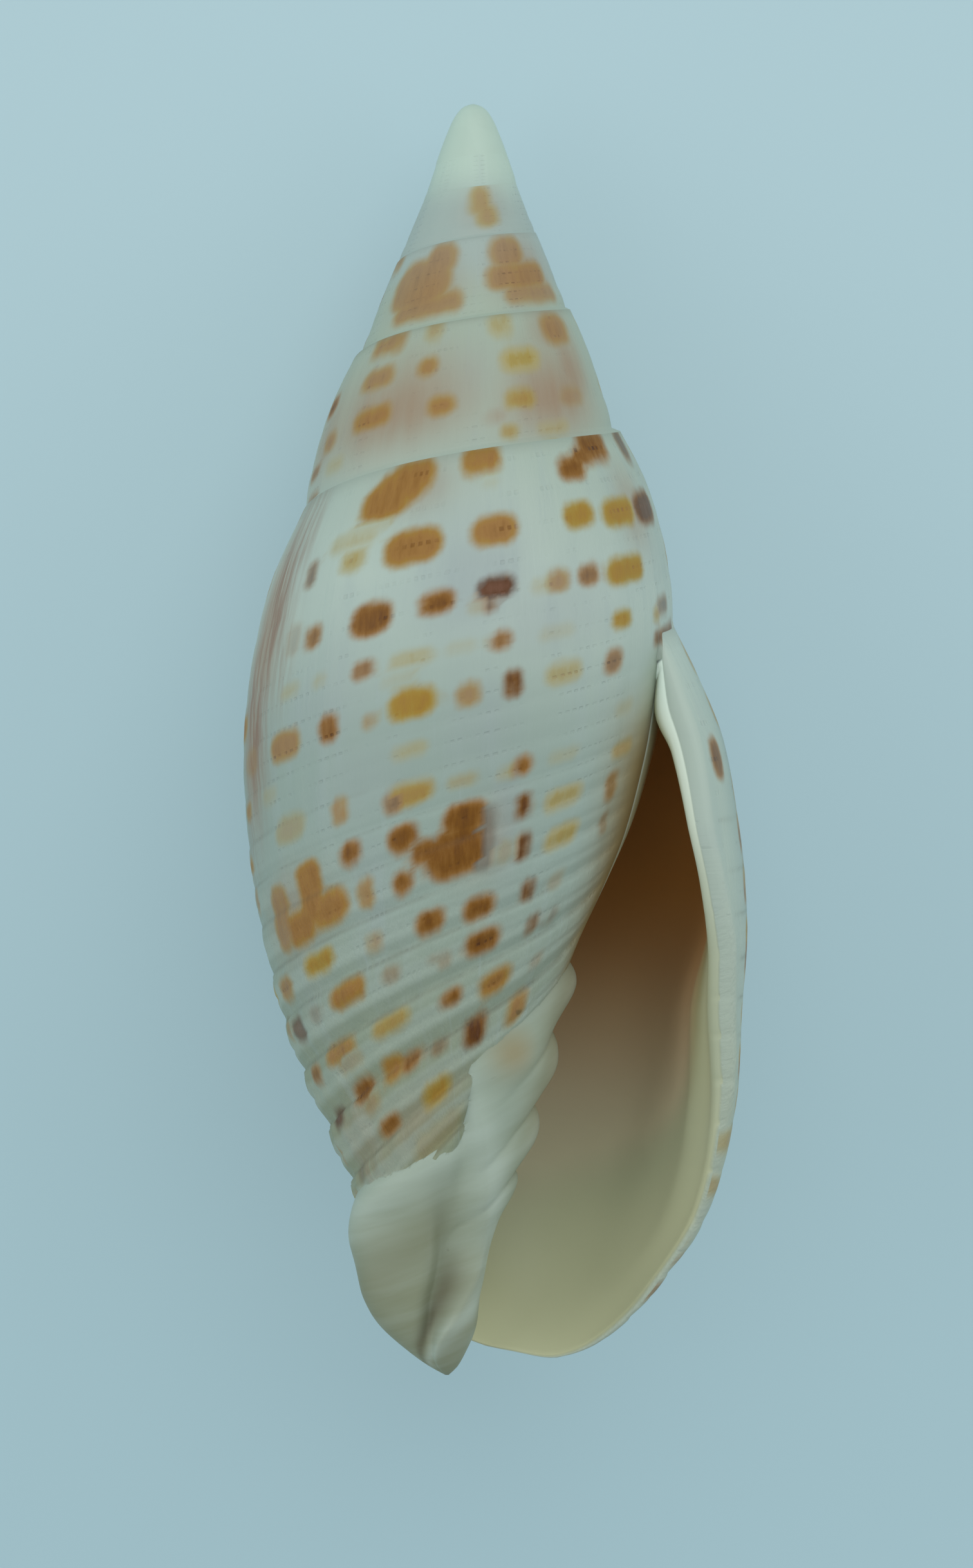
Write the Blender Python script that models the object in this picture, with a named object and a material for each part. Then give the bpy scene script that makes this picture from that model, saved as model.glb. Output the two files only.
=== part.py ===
"""A mitre shell, one grown piece: a spiral wall wound about a pillar with folds.

The shell is worked out in its own coiling frame, in millimetres: h runs along the
coiling axis from the tip of the spire, r out from the axis, and turn counts whorls,
with turn 1 near the free lip. It is then laid down as it rests, on its back.
"""

import math

import bmesh
import bpy
import numpy as np
from mathutils import Matrix

MM = 0.001

# Coiling: how the spire steps forward.
GROWTH = 0.463            # natural log of the growth from one whorl to the next
FIRST_SEAM = 15.6         # height of the seam at turn 0
SPIRE_REACH = 27.6        # length of whorl 0 along the axis, covered part included
LIP_TURN = 1.072          # where the free lip meets the whorl before it
START_TURN = LIP_TURN - 5.5
CAVITY_TURN = LIP_TURN - 0.66
WARP_TURN = 0.55          # past this turn the columns lean to follow the lip
LIP_CROWDING = 0.6        # how much closer the columns stand near the lip

# The back of the last whorl is a little flattened.
BACK_TURN, BACK_HALF, BACK_DEPTH = 0.735, 0.15, 0.9

# Wall.
WALL = 1.35               # thickness of the wall by the lip
SHOULDER_WALL = 0.8       # extra thickness by the seam
LIP_ROUND = 0.55          # width over which the lip is rounded off
SEAM_DROP = 2.2           # the hollow starts this far below the seam
WEDGE = 0.6               # softness of the hollow's narrow end
CORNER = 3.4              # distance from the seam over which the hollow opens
BEVEL, BEVEL_REACH = 0.9, 5.0  # how much thicker the wall gets, and over what depth behind the lip
LIP_RADIUS = 9.5          # radius at the top of the lip
COVER = 0.9               # how far the next whorl's edge reaches below the end of the seam
LEAN = -1.2               # how far the wall's axis leans to the left near the foot

HUB_HEIGHT = 42.0         # where the wall is closed off inside the pillar

# Grid of the spiral wall.
COLUMNS = 44              # to a whorl
SPIRE_ROWS = 5            # from seam to seam
BODY_ROWS = 13            # from the next seam to the foot
CAP_ROWS = 3              # from the first seam to the tip

# Pillar.
PILLAR_TOP, PILLAR_TIP = 24.0, 59.9
PILLAR_ROWS, PILLAR_SIDES = 62, 44
PLEAT_HEIGHT = 0.85
SWELL_HEIGHT = 0.45       # rounded swelling left of the band in front
LOBE_HEIGHT = 0.8         # lobe at the far left
SLIT_DEPTH = 0.55

# Look of the bare shell.
COLOUR, ROUGHNESS, METALLIC = (0.55, 0.51, 0.42, 1.0), 0.35, 0.0

# How the shell lies: turned about its own length, then tipped.
ROLL = math.radians(-7.2)
PITCH = math.radians(-12.1)
WORN_FLAT = 0.36          # depth worn off flat where the back touches the ground


def through(points):
    """A smooth curve through (x, y) points that never overshoots them."""
    x, y = np.array(points, float).T
    step, rise = np.diff(x), np.diff(y) / np.diff(x)
    slope = np.concatenate([rise[:1], np.zeros(len(x) - 2), rise[-1:]])
    before, after = 2 * step[1:] + step[:-1], step[1:] + 2 * step[:-1]
    same = rise[1:] * rise[:-1] > 0
    safe = np.where(same, before / np.where(same, rise[:-1], 1) + after / np.where(same, rise[1:], 1), 1)
    slope[1:-1] = np.where(same, (before + after) / safe, 0)

    def value(at):
        """The curve's height at each x."""
        at = np.clip(at, x[0], x[-1])
        i = np.clip(np.searchsorted(x, at) - 1, 0, len(x) - 2)
        w, u = step[i], (at - x[i]) / step[i]
        return ((1 + 2 * u) * (1 - u) ** 2 * y[i] + u * (1 - u) ** 2 * w * slope[i]
                + u * u * (3 - 2 * u) * y[i + 1] - u * u * (1 - u) * w * slope[i + 1])

    return value


def ease(start, end, at):
    """0 before start, 1 after end, smooth between."""
    u = np.clip((at - start) / (end - start), 0, 1)
    return u * u * (3 - 2 * u)


def bell(at, centre, width):
    """1 at the centre, falling away on both sides over the width."""
    return np.exp(-((at - centre) / width) ** 2)


# Outlines in millimetres.
girth = through([(-7, 0.5), (-5, 1.4), (-4, 2.0), (-3, 2.95), (-2, 4.43), (-1, 6.62), (0, 9.4),
                 (0.5, 10.8), (1, 12.8), (1.1, 13.1)])
late_foot = through([(0, 43.2), (0.25, 51.7), (0.5, 57.2), (0.75, 57.6), (0.85, 59.4), (0.95, 61.4),
                     (1.1, 61.8)])
early_profile = through([(0, 0.745), (0.078, 0.867), (0.158, 0.944), (0.237, 0.987), (0.296, 1.0),
                         (0.396, 0.98), (0.476, 0.944), (0.555, 0.886), (0.634, 0.811), (0.714, 0.7),
                         (0.794, 0.574), (0.833, 0.518), (0.917, 0.36), (1, 0.1)])
late_profile = through([(0, 0.735), (0.068, 0.828), (0.152, 0.92), (0.24, 0.965), (0.32, 0.992),
                        (0.39, 1.0), (0.49, 0.98), (0.58, 0.967), (0.66, 0.93), (0.746, 0.862),
                        (0.834, 0.758), (0.876, 0.705), (0.918, 0.62), (0.955, 0.5), (0.98, 0.38), (1, 0.1)])
flattening = through([(0, 0.075), (0.1, 0.12), (0.2, 0.105), (0.3, 0.035), (0.36, 0), (1, 0)])
worn_tip = through([(0, 0), (0.12, 0.45), (0.5, 0.92), (1.5, 1.4), (3, 1.86), (4.5, 2.3), (6, 2.8),
                    (9, 4.05)])
lip_edge = through([(0, LIP_TURN), (0.13, 1.082), (0.24, 1.085), (0.35, 1.073), (0.42, 1.062),
                    (0.52, 1.048), (0.65, 1.028), (0.75, 1.004), (0.84, 0.98), (0.9, 0.957),
                    (0.95, 0.92), (0.98, 0.86), (1, 0.78)])
wall_fade = through([(0, 1.0), (0.45, 1.0), (0.75, 0.55), (1, 0.38)])

# The pillar's middle line and radius down its height.
pillar_x = through([(24, 0), (41, 0), (44, -0.2), (46.8, -0.6), (48.3, -1.0), (49.8, -1.4), (51.4, -1.9),
                    (54.4, -2.3), (55.9, -2.3), (57.4, -2.0), (58.9, -1.6), (60.15, -1.1)])
pillar_z = through([(24, 0), (50, 0.1), (55, 0.2), (60.15, 0.0)])
pillar_radius = through([(24, 0.4), (30, 3.1), (36, 3.6), (39, 3.9), (41, 4.15), (44, 3.75), (46.8, 3.6),
                         (49.8, 3.4), (51.4, 3.2), (52.9, 2.8), (54.4, 2.45), (55.9, 2.15),
                         (57.4, 1.75), (58.7, 1.15), (59.5, 0.6), (59.9, 0.08)])

# The glazed band in front of the pillar: its height, and the angle of its left edge in degrees.
band_height = through([(36, 0), (40, 0.9), (42, 1.55), (45.3, 1.75), (47, 1.35), (49, 1.05), (52, 1.15),
                       (55, 1.15), (57.5, 0.9), (59.9, 0)])
band_edge = through([(36, 45), (41, 52), (42.4, 64), (45.3, 93), (46.5, 91), (48.9, 76), (51.6, 60),
                     (54.3, 48), (55.5, 56), (57, 72), (58.9, 108), (59.9, 120)])
pleat_count = through([(36.3, -1), (39.8, 0), (43.3, 1), (46.8, 2), (49.9, 3), (52.9, 4), (55.7, 5)])


def seam(turn):
    """Height of the seam, which moves forward by the same factor every turn."""
    return FIRST_SEAM * np.exp(GROWTH * turn)


def foot(turn):
    """Height where the wall of this turn runs into the pillar."""
    early = seam(turn) + SPIRE_REACH * np.exp(GROWTH * turn)
    return np.where(turn < 0, early, late_foot(turn))


def width(turn):
    """Largest radius of this turn, less the flattening of the back."""
    aside = np.clip((turn - BACK_TURN) / BACK_HALF, -1, 1)
    return girth(turn) - BACK_DEPTH * (1 + np.cos(np.pi * aside)) / 2


def outer_radius(turn, h):
    """The wall's outer face, as a distance from the axis."""
    u = np.clip((h - seam(turn)) / (foot(turn) - seam(turn)), 0, 1)
    late = ease(0.5, 0.9, turn)
    shape = (1 - late) * early_profile(u) + late * late_profile(u)
    shape = shape - ease(0.5, -1.7, turn) * flattening(u)
    return worn_tip(h) + (width(turn) * shape - worn_tip(h)) * ease(1.5, 7, h)


def thickness(turn, h):
    """The wall's thickness: thicker by the seam, thinner by the foot, and grown with the turn."""
    u = np.clip((h - seam(turn)) / (foot(turn) - seam(turn)), 0, 1)
    wall = WALL * wall_fade(u) + SHOULDER_WALL * ease(0.3, 0, u)
    return wall * np.exp(GROWTH * (np.minimum(turn, 1) - 1))


def lean(h):
    """The wall's axis leans with the pillar near the foot."""
    return LEAN * ease(52, 60, h)


def place(turn, r, h):
    """From the coiling frame to x to the right, y to the tip of the spire, z up."""
    angle = 2 * np.pi * turn
    return np.stack([lean(h) + r * np.cos(angle), -h + 0 * r, r * np.sin(angle)], -1)


class Wall:
    """The spiral wall as columns of points, one column for each step of turn."""

    def __init__(self):
        """Places the columns, closer together near the lip."""
        back = np.arange(round((LIP_TURN - START_TURN) * COLUMNS), -1, -1) / COLUMNS
        self.turn = LIP_TURN - back + LIP_CROWDING / (2 * np.pi) * np.sin(2 * np.pi * back)
        self.last = len(self.turn) - 1
        self.split = self.last - COLUMNS
        self.deep = int(np.searchsorted(self.turn, CAVITY_TURN))

    def rounding(self, distance):
        """1 away from the lip, falling to 0 on its edge along a quarter circle."""
        return np.sqrt(np.clip(1 - (1 - np.clip(distance / LIP_ROUND, 0, 1)) ** 2, 0, 1))

    def outer_seam(self, turn):
        """Where the outer face starts by the seam."""
        slack = SEAM_DROP * np.exp(GROWTH * (turn - 1)) / 2
        return seam(turn) + slack * (1 - self.rounding((LIP_TURN - turn) * 2 * np.pi * LIP_RADIUS))

    def inner_seam(self, turn):
        """Where the inner face starts by the seam."""
        slack = SEAM_DROP * np.exp(GROWTH * (turn - 1)) / 2
        return seam(turn) + slack * (1 + self.rounding((LIP_TURN - turn) * 2 * np.pi * LIP_RADIUS))

    def rows(self, turn, top):
        """Heights down each column: SPIRE_ROWS to the next seam, BODY_ROWS to the foot."""
        passed = np.maximum(turn + 1 - LIP_TURN, 0)
        nearest = np.minimum(turn + 1, LIP_TURN)
        middle = self.outer_seam(nearest) + seam(turn + 1) - seam(nearest)
        middle = np.where(turn + 1 > LIP_TURN, middle - COVER * ease(0, 0.1, passed), middle)
        upper = top + (middle - top) * np.linspace(0, 1, SPIRE_ROWS + 1)
        lower = middle + (foot(turn) - middle) * np.linspace(0, 1, BODY_ROWS + 1)[1:]
        return np.concatenate([upper, lower], 1)

    def leaned(self, turn, h):
        """Turns of the points after the columns lean to follow the lip."""
        u = np.clip((h - seam(turn)) / (foot(turn) - seam(turn)), 0, 1)
        along = np.clip((turn - WARP_TURN) / (LIP_TURN - WARP_TURN), 0, None)
        return np.where(turn > WARP_TURN, WARP_TURN + along * (lip_edge(u) - WARP_TURN), turn), u

    def faces_of_wall(self, columns, top, inside):
        """Points of the outer or the inner face over a range of columns."""
        turn = self.turn[columns][:, None]
        h = self.rows(turn, top(turn))
        bent, u = self.leaned(turn, h)
        h = h + (foot(bent) - foot(turn)) * u + (seam(bent) - seam(turn)) * (1 - u) * ease(0, 0.1, u)
        outer = outer_radius(bent, h)
        behind = (lip_edge(u) - bent) * 2 * np.pi * outer
        bevel = BEVEL * ease(0, BEVEL_REACH, behind) * ease(0.3, 0.45, u) * ease(0.97, 0.85, u)
        wall = thickness(bent, h) + bevel
        floor = outer_radius(bent - 1, np.minimum(h, foot(bent - 1)))
        room = outer - wall - floor
        inner = floor + (room + np.sqrt(room ** 2 + WEDGE ** 2)) / 2
        inner = floor + (inner - floor) * ease(0, CORNER, h - h[:, :1])
        middle = (outer + inner) / 2
        edge = self.rounding(behind)
        edge = np.where(turn > LIP_TURN - 0.5, edge, 1)
        side = inner if inside else outer
        return place(bent, middle + (side - middle) * edge, h)


def spiral_mesh():
    """One closed mesh: spire, last whorl inside and out, and the floor of its hollow."""
    wall = Wall()
    points, ids = [], {}

    def add(block):
        """Adds a grid of points and gives the grid of their numbers."""
        start = sum(len(p) for p in points)
        points.append(block.reshape(-1, 3))
        return np.arange(start, start + block.shape[0] * block.shape[1]).reshape(block.shape[:2])

    outer = add(wall.faces_of_wall(slice(None), wall.outer_seam, False))
    inner = add(wall.faces_of_wall(slice(wall.deep, None), wall.inner_seam, True))
    floor_turn = wall.turn[wall.deep - COLUMNS:wall.split + 1][:, None]
    top = wall.inner_seam(floor_turn + 1)
    floor_h = top + (foot(floor_turn) - top) * np.linspace(0, 1, BODY_ROWS + 1)
    floor = add(place(floor_turn, outer_radius(floor_turn, floor_h), floor_h))

    # Shared points: next seam on this whorl, lip, hollow's top, floor's end.
    outer[:wall.split + 1, SPIRE_ROWS] = outer[COLUMNS:wall.last + 1, 0]
    inner[-1] = outer[-1]
    floor[-1] = outer[wall.split, SPIRE_ROWS:]
    floor[:, 0] = inner[:, 0]

    quads = []

    def sheet(grid, flip=False):
        """Covers a grid of points with quads."""
        a, b, c, d = grid[:-1, :-1], grid[1:, :-1], grid[1:, 1:], grid[:-1, 1:]
        corners = np.stack([a, d, c, b] if flip else [a, b, c, d], -1).reshape(-1, 4)
        quads.extend(corners.tolist())

    sheet(outer[:wall.split + 1, :SPIRE_ROWS + 1])
    sheet(outer[wall.split:])
    sheet(inner, flip=True)
    sheet(floor)
    sheet(np.stack([outer[wall.deep:, -1], inner[:, -1]], 1))
    quads.append(inner[0].tolist() + floor[0, :0:-1].tolist())

    # The foot is closed inside the pillar.
    ring = outer[wall.split:wall.deep + 1, -1].tolist() + inner[:1, -1].tolist() + floor[:-1, -1].tolist()
    hub = add(np.array([[[0.0, -HUB_HEIGHT, 0.0]]]))[0, 0]
    quads.extend([ring[i], ring[(i + 1) % len(ring)], hub] for i in range(len(ring)))

    # The tip is closed over a loop that runs once round and back up the first column.
    loop = np.concatenate([outer[:COLUMNS, 0], outer[0, SPIRE_ROWS:0:-1]])
    rim = np.concatenate(points)[loop]
    height, angle = -rim[:, 1], np.unwrap(np.arctan2(rim[:, 2], rim[:, 0]))
    even = angle[0] + 2 * np.pi * np.arange(len(loop)) / len(loop)
    share = np.linspace(1, 0, CAP_ROWS + 2)[1:-1, None]
    levels = share ** 1.5 * (share * height + (1 - share) * height.mean())
    cap = add(place((share * angle + (1 - share) * even) / (2 * np.pi), worn_tip(levels), levels))
    tip = add(np.zeros((1, 1, 3)))[0, 0]
    cap = np.vstack([loop[None], cap])
    cap = np.hstack([cap, cap[:, :1]])
    sheet(cap)
    quads.extend([cap[-1, i], cap[-1, i + 1], tip] for i in range(len(loop)))
    return np.concatenate(points), quads


def pleats(h, degrees):
    """Height of the pleats: lobes with sharp notches, climbing with the angle, on the right."""
    climb = 0.9 * np.radians(degrees) + 5.5 * ease(18, 105, degrees)
    count = pleat_count(h - climb)
    lobe = np.abs(np.sin(np.pi * count)) ** 0.6 - 0.5
    keep = ease(-0.05, 0.2, count) * ease(4.1, 3.3, count)
    aside = 0.8 * ease(42, 12, np.abs(degrees)) + 0.2 * ease(72, 45, np.abs(degrees))
    return PLEAT_HEIGHT * lobe * keep * aside


def pillar_mesh():
    """The pillar: a rod with pleats on its right, a band and a slit in front and a lobe on its left."""
    h = np.linspace(0, 1, PILLAR_ROWS + 1)[:, None]
    h = PILLAR_TOP + (PILLAR_TIP - PILLAR_TOP) * h
    a = np.linspace(-np.pi, np.pi, PILLAR_SIDES, endpoint=False)[None, :]
    degrees, edge = np.degrees(a), band_edge(h)
    r = pillar_radius(h) + band_height(h) * ease(-15, 45, degrees) * ease(8, -8, degrees - edge)
    leftward = np.mod(degrees, 360) - 175
    crest = 49.9 + 2.8 * (leftward + 80) / 85
    r = r + SWELL_HEIGHT * bell(h, crest, 1.5) * ease(-100, -75, leftward) * ease(30, -30, leftward)
    r = r + LOBE_HEIGHT * ease(50.5, 54, h) * ease(60, 57, h) * bell(leftward, 0, 36)
    r = r - SLIT_DEPTH * ease(49.5, 54, h) * ease(59.2, 57, h) * bell(degrees, edge + 20, 13)
    r = r + pleats(h, degrees)
    x, z = pillar_x(h) + r * np.cos(a), pillar_z(h) + r * np.sin(a)
    points = np.stack([x, -h + 0 * r, z], -1)
    grid = np.arange(points.shape[0] * points.shape[1]).reshape(points.shape[:2])
    grid = np.hstack([grid, grid[:, :1]])
    a, b, c, d = grid[:-1, :-1], grid[1:, :-1], grid[1:, 1:], grid[:-1, 1:]
    faces = np.stack([a, d, c, b], -1).reshape(-1, 4).tolist()
    faces.append(grid[0, :-1].tolist())
    faces.append(grid[-1, -2::-1].tolist())
    return points.reshape(-1, 3), faces


def make_material(name):
    """The glazed, limy look of the shell."""
    material = bpy.data.materials.new(name)
    material.use_nodes = True
    shader = material.node_tree.nodes["Principled BSDF"]
    shader.inputs["Base Color"].default_value = COLOUR
    shader.inputs["Roughness"].default_value = ROUGHNESS
    shader.inputs["Metallic"].default_value = METALLIC
    return material


def make_object(name, points, faces):
    """A smooth-shaded object from points and faces; doubled corners are dropped."""
    mesh = bpy.data.meshes.new(name)
    corners = (list(dict.fromkeys(int(corner) for corner in face)) for face in faces)
    mesh.from_pydata(points.tolist(), [], [face for face in corners if len(face) > 2])
    work = bmesh.new()
    work.from_mesh(mesh)
    loose = [v for v in work.verts if not v.link_faces]
    bmesh.ops.delete(work, geom=loose, context='VERTS')
    bmesh.ops.triangulate(work, faces=[f for f in work.faces if len(f.verts) > 4])
    bmesh.ops.recalc_face_normals(work, faces=work.faces)
    work.to_mesh(mesh)
    work.free()
    mesh.shade_smooth()
    mesh.materials.append(make_material(name))
    thing = bpy.data.objects.new(name, mesh)
    bpy.context.scene.collection.objects.link(thing)
    return thing


def move(things, matrix):
    """Moves the meshes of several objects alike."""
    for thing in things:
        thing.data.transform(matrix)


def main():
    """Builds the wall and the pillar, lays them down, wears the back flat and joins them."""
    for thing in list(bpy.data.objects):
        bpy.data.objects.remove(thing)
    shell = make_object("shell", *spiral_mesh())
    pillar = make_object("pillar_guide", *pillar_mesh())
    pillar.hide_render = True
    pillar.display_type = 'WIRE'
    both = (shell, pillar)
    move(both, Matrix.Rotation(PITCH, 4, 'X') @ Matrix.Rotation(ROLL, 4, 'Y') @ Matrix.Scale(MM, 4))
    corners = np.array([vertex.co for thing in both for vertex in thing.data.vertices])
    low, high = corners.min(0), corners.max(0)
    ground = low[2] + WORN_FLAT * MM
    move(both, Matrix.Translation((-(low[0] + high[0]) / 2, -(low[1] + high[1]) / 2, -ground)))
    for vertex in shell.data.vertices:
        vertex.co.z = max(vertex.co.z, 0)
    join = shell.modifiers.new("pillar", 'BOOLEAN')
    join.operation, join.solver, join.object = 'UNION', 'EXACT', pillar


if __name__ == "__main__":
    main()
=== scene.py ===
"""A mitre shell lying on its back: one spiral wall wound about a pleated pillar.

The shell is worked out in its coiling frame, in millimetres: h runs along the coiling axis from
the tip of the spire, r out from the axis, and turn counts whorls, with turn 1 near the free lip.
A share is how far down the wall a point lies, 0 at the seam and 1 at the foot. Rows are the spiral
cords, counted down from the seam. A spot sits at a whorl, a row and an angle, with 0 degrees at
the lip's side and 90 degrees in front. A span is where a change starts and where it is complete.
"""

import logging
import math
from dataclasses import dataclass, field
from enum import Enum
from typing import Callable, Sequence, Union

import bmesh
import bpy
import numpy as np
from mathutils import Matrix, Vector


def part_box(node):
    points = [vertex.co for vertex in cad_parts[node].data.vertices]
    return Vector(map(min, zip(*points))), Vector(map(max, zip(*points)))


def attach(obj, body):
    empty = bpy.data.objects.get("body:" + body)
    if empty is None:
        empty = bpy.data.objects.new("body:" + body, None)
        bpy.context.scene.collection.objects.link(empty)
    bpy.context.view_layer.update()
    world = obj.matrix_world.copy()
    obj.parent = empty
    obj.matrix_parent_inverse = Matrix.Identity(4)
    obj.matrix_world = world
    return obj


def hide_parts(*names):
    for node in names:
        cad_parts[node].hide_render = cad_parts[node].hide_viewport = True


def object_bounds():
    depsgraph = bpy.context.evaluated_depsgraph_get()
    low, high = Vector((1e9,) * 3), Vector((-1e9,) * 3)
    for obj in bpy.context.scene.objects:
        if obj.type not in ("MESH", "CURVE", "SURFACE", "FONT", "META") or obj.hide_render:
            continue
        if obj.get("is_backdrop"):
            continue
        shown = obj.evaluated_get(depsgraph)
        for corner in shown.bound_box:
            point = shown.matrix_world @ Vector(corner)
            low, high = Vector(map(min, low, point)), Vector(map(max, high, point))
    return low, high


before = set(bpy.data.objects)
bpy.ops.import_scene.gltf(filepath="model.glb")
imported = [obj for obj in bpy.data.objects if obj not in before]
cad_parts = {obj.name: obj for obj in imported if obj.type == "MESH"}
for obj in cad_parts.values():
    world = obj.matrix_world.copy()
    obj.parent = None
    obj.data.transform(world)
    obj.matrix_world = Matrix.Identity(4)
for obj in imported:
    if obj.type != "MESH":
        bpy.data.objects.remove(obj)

LOG = logging.getLogger("mitre_shell")
MM = 0.001
Curve = Callable[[np.ndarray], np.ndarray]
Colour = tuple[float, float, float]
Pair = tuple[float, float]
Span = Pair


# ---------------------------------------------------------------- curves

def through(points: Sequence[Pair]) -> Curve:
    """A smooth curve through points that never overshoots them.

    Formula: between two points a cubic, whose slope at each point is the weighted harmonic mean
    of the rises on its two sides, or level where those rises disagree.

    Args:
        points: (x, y) pairs, x rising.

    Returns:
        A function from x to y, held at the end values outside the range.
    """
    x, y = np.array(points, float).T
    step, rise = np.diff(x), np.diff(y) / np.diff(x)
    slope = np.concatenate([rise[:1], np.zeros(len(x) - 2), rise[-1:]])
    before, after = 2 * step[1:] + step[:-1], step[1:] + 2 * step[:-1]
    same = rise[1:] * rise[:-1] > 0
    left, right = np.where(same, rise[:-1], 1), np.where(same, rise[1:], 1)
    slope[1:-1] = np.where(same, (before + after) / (before / left + after / right), 0)

    def value(at: np.ndarray) -> np.ndarray:
        """The curve itself.

        Args:
            at: where to read it.

        Returns:
            Its height there.
        """
        at = np.clip(at, x[0], x[-1])
        i = np.clip(np.searchsorted(x, at) - 1, 0, len(x) - 2)
        w, u = step[i], (at - x[i]) / step[i]
        return ((1 + 2 * u) * (1 - u) ** 2 * y[i] + u * (1 - u) ** 2 * w * slope[i]
                + u * u * (3 - 2 * u) * y[i + 1] - u * u * (1 - u) * w * slope[i + 1])

    return value


def ease(start: float, end: float, at: np.ndarray) -> np.ndarray:
    """0 before start, 1 after end, and 3u^2 - 2u^3 between; start may lie past end."""
    u = np.clip((at - start) / (end - start), 0, 1)
    return u * u * (3 - 2 * u)


def bell(at: np.ndarray, centre: float, width: float) -> np.ndarray:
    """exp(-d^2), with d the distance from the centre in widths."""
    return np.exp(-((at - centre) / width) ** 2)


# ---------------------------------------------------------------- the coil

@dataclass(frozen=True)
class Coil:
    """How the shell coils: its outlines in millimetres and its turns in whorls."""

    growth: float = 0.463          # natural log of the growth from one whorl to the next
    first_seam: float = 15.6       # height of the seam at turn 0
    spire_reach: float = 27.6      # length of whorl 0 along the axis, covered part included
    lip_turn: float = 1.072        # where the free lip meets the whorl before it
    whorls: float = 5.0
    hollow: float = 0.66           # turns that the hollow runs back from the lip
    wall: float = 1.35
    shoulder_wall: float = 0.8     # extra thickness by the seam
    shoulder: Span = (0.3, 0.0)
    back_turn: float = 0.735       # the middle of the flattened back
    back_half: float = 0.15
    back_depth: float = 0.9
    late: Span = (0.5, 0.9)        # turns over which the late profile takes over
    flat: Span = (0.5, -1.7)       # turns over which the whorls flatten up the spire
    worn: Span = (1.5, 7.0)        # heights over which the worn tip gives way
    lean_aside: float = -1.2       # how far the wall's axis leans to the left near the foot
    leaning: Span = (52.0, 60.0)
    way_round: float = 75.0        # millimetres once round the last whorl
    girth: Curve = through([(-7, 0.5), (-5, 1.4), (-4, 2.0), (-3, 2.95), (-2, 4.43), (-1, 6.62),
                            (0, 9.4), (0.5, 10.8), (1, 12.8), (1.1, 13.1)])
    late_foot: Curve = through([(0, 43.2), (0.25, 51.7), (0.5, 57.2), (0.75, 57.6), (0.85, 59.4),
                                (0.95, 61.4), (1.1, 61.8)])
    early_profile: Curve = through([(0, 0.745), (0.078, 0.867), (0.158, 0.944), (0.237, 0.987),
                                    (0.296, 1.0), (0.396, 0.98), (0.476, 0.944), (0.555, 0.886),
                                    (0.634, 0.811), (0.714, 0.7), (0.794, 0.574), (0.833, 0.518),
                                    (0.917, 0.36), (1, 0.1)])
    late_profile: Curve = through([(0, 0.735), (0.068, 0.828), (0.152, 0.92), (0.24, 0.965),
                                   (0.32, 0.992), (0.39, 1.0), (0.49, 0.98), (0.58, 0.967),
                                   (0.66, 0.93), (0.746, 0.862), (0.834, 0.758), (0.876, 0.705),
                                   (0.918, 0.62), (0.955, 0.5), (0.98, 0.38), (1, 0.1)])
    flattening: Curve = through([(0, 0.075), (0.1, 0.12), (0.2, 0.105), (0.3, 0.035), (0.36, 0),
                                 (1, 0)])
    worn_tip: Curve = through([(0, 0), (0.12, 0.38), (0.5, 0.78), (1.5, 1.26), (3, 1.8),
                               (4.5, 2.3), (6, 2.8), (9, 4.05)])
    lip_line: Curve = through([(0, 1.072), (0.13, 1.082), (0.24, 1.085), (0.35, 1.073),
                               (0.42, 1.062), (0.52, 1.048), (0.65, 1.028), (0.75, 1.004),
                               (0.84, 0.98), (0.9, 0.957), (0.95, 0.92), (0.98, 0.86), (1, 0.78)])
    wall_fade: Curve = through([(0, 1.0), (0.45, 1.0), (0.75, 0.55), (1, 0.38)])

    def seam(self, turn: np.ndarray) -> np.ndarray:
        """Height of the seam, which moves forward by the same factor every turn."""
        return self.first_seam * np.exp(self.growth * turn)

    def foot(self, turn: np.ndarray) -> np.ndarray:
        """Height where the wall of this turn runs into the pillar."""
        early = self.seam(turn) + self.spire_reach * np.exp(self.growth * turn)
        return np.where(turn < 0, early, self.late_foot(turn))

    def share(self, turn: np.ndarray, h: np.ndarray) -> np.ndarray:
        """How far h is down the wall, 0 at the seam and 1 at the foot."""
        return np.clip((h - self.seam(turn)) / (self.foot(turn) - self.seam(turn)), 0, 1)

    def radius(self, turn: np.ndarray, h: np.ndarray) -> np.ndarray:
        """The wall's outer face as a distance from the axis.

        Formula: the turn's girth, less a cosine hollow at the back, times a profile down the
        wall; near the tip of the spire the worn tip's own profile takes over.

        Args:
            turn: whorls along the spiral.
            h: heights from the tip, same shape.

        Returns:
            Radii in millimetres.
        """
        u = self.share(turn, h)
        late = ease(*self.late, turn)
        shape = (1 - late) * self.early_profile(u) + late * self.late_profile(u)
        shape = shape - ease(*self.flat, turn) * self.flattening(u)
        aside = np.clip((turn - self.back_turn) / self.back_half, -1, 1)
        width = self.girth(turn) - self.back_depth * (1 + np.cos(np.pi * aside)) / 2
        return self.worn_tip(h) + (width * shape - self.worn_tip(h)) * ease(*self.worn, h)

    def thickness(self, turn: np.ndarray, h: np.ndarray) -> np.ndarray:
        """The wall's thickness: thicker by the seam, thinner by the foot, and grown with it.

        Args:
            turn: whorls along the spiral.
            h: heights from the tip, same shape.

        Returns:
            Thicknesses in millimetres.
        """
        u = self.share(turn, h)
        wall = self.wall * self.wall_fade(u) + self.shoulder_wall * ease(*self.shoulder, u)
        return wall * np.exp(self.growth * (np.minimum(turn, 1) - 1))

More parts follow.
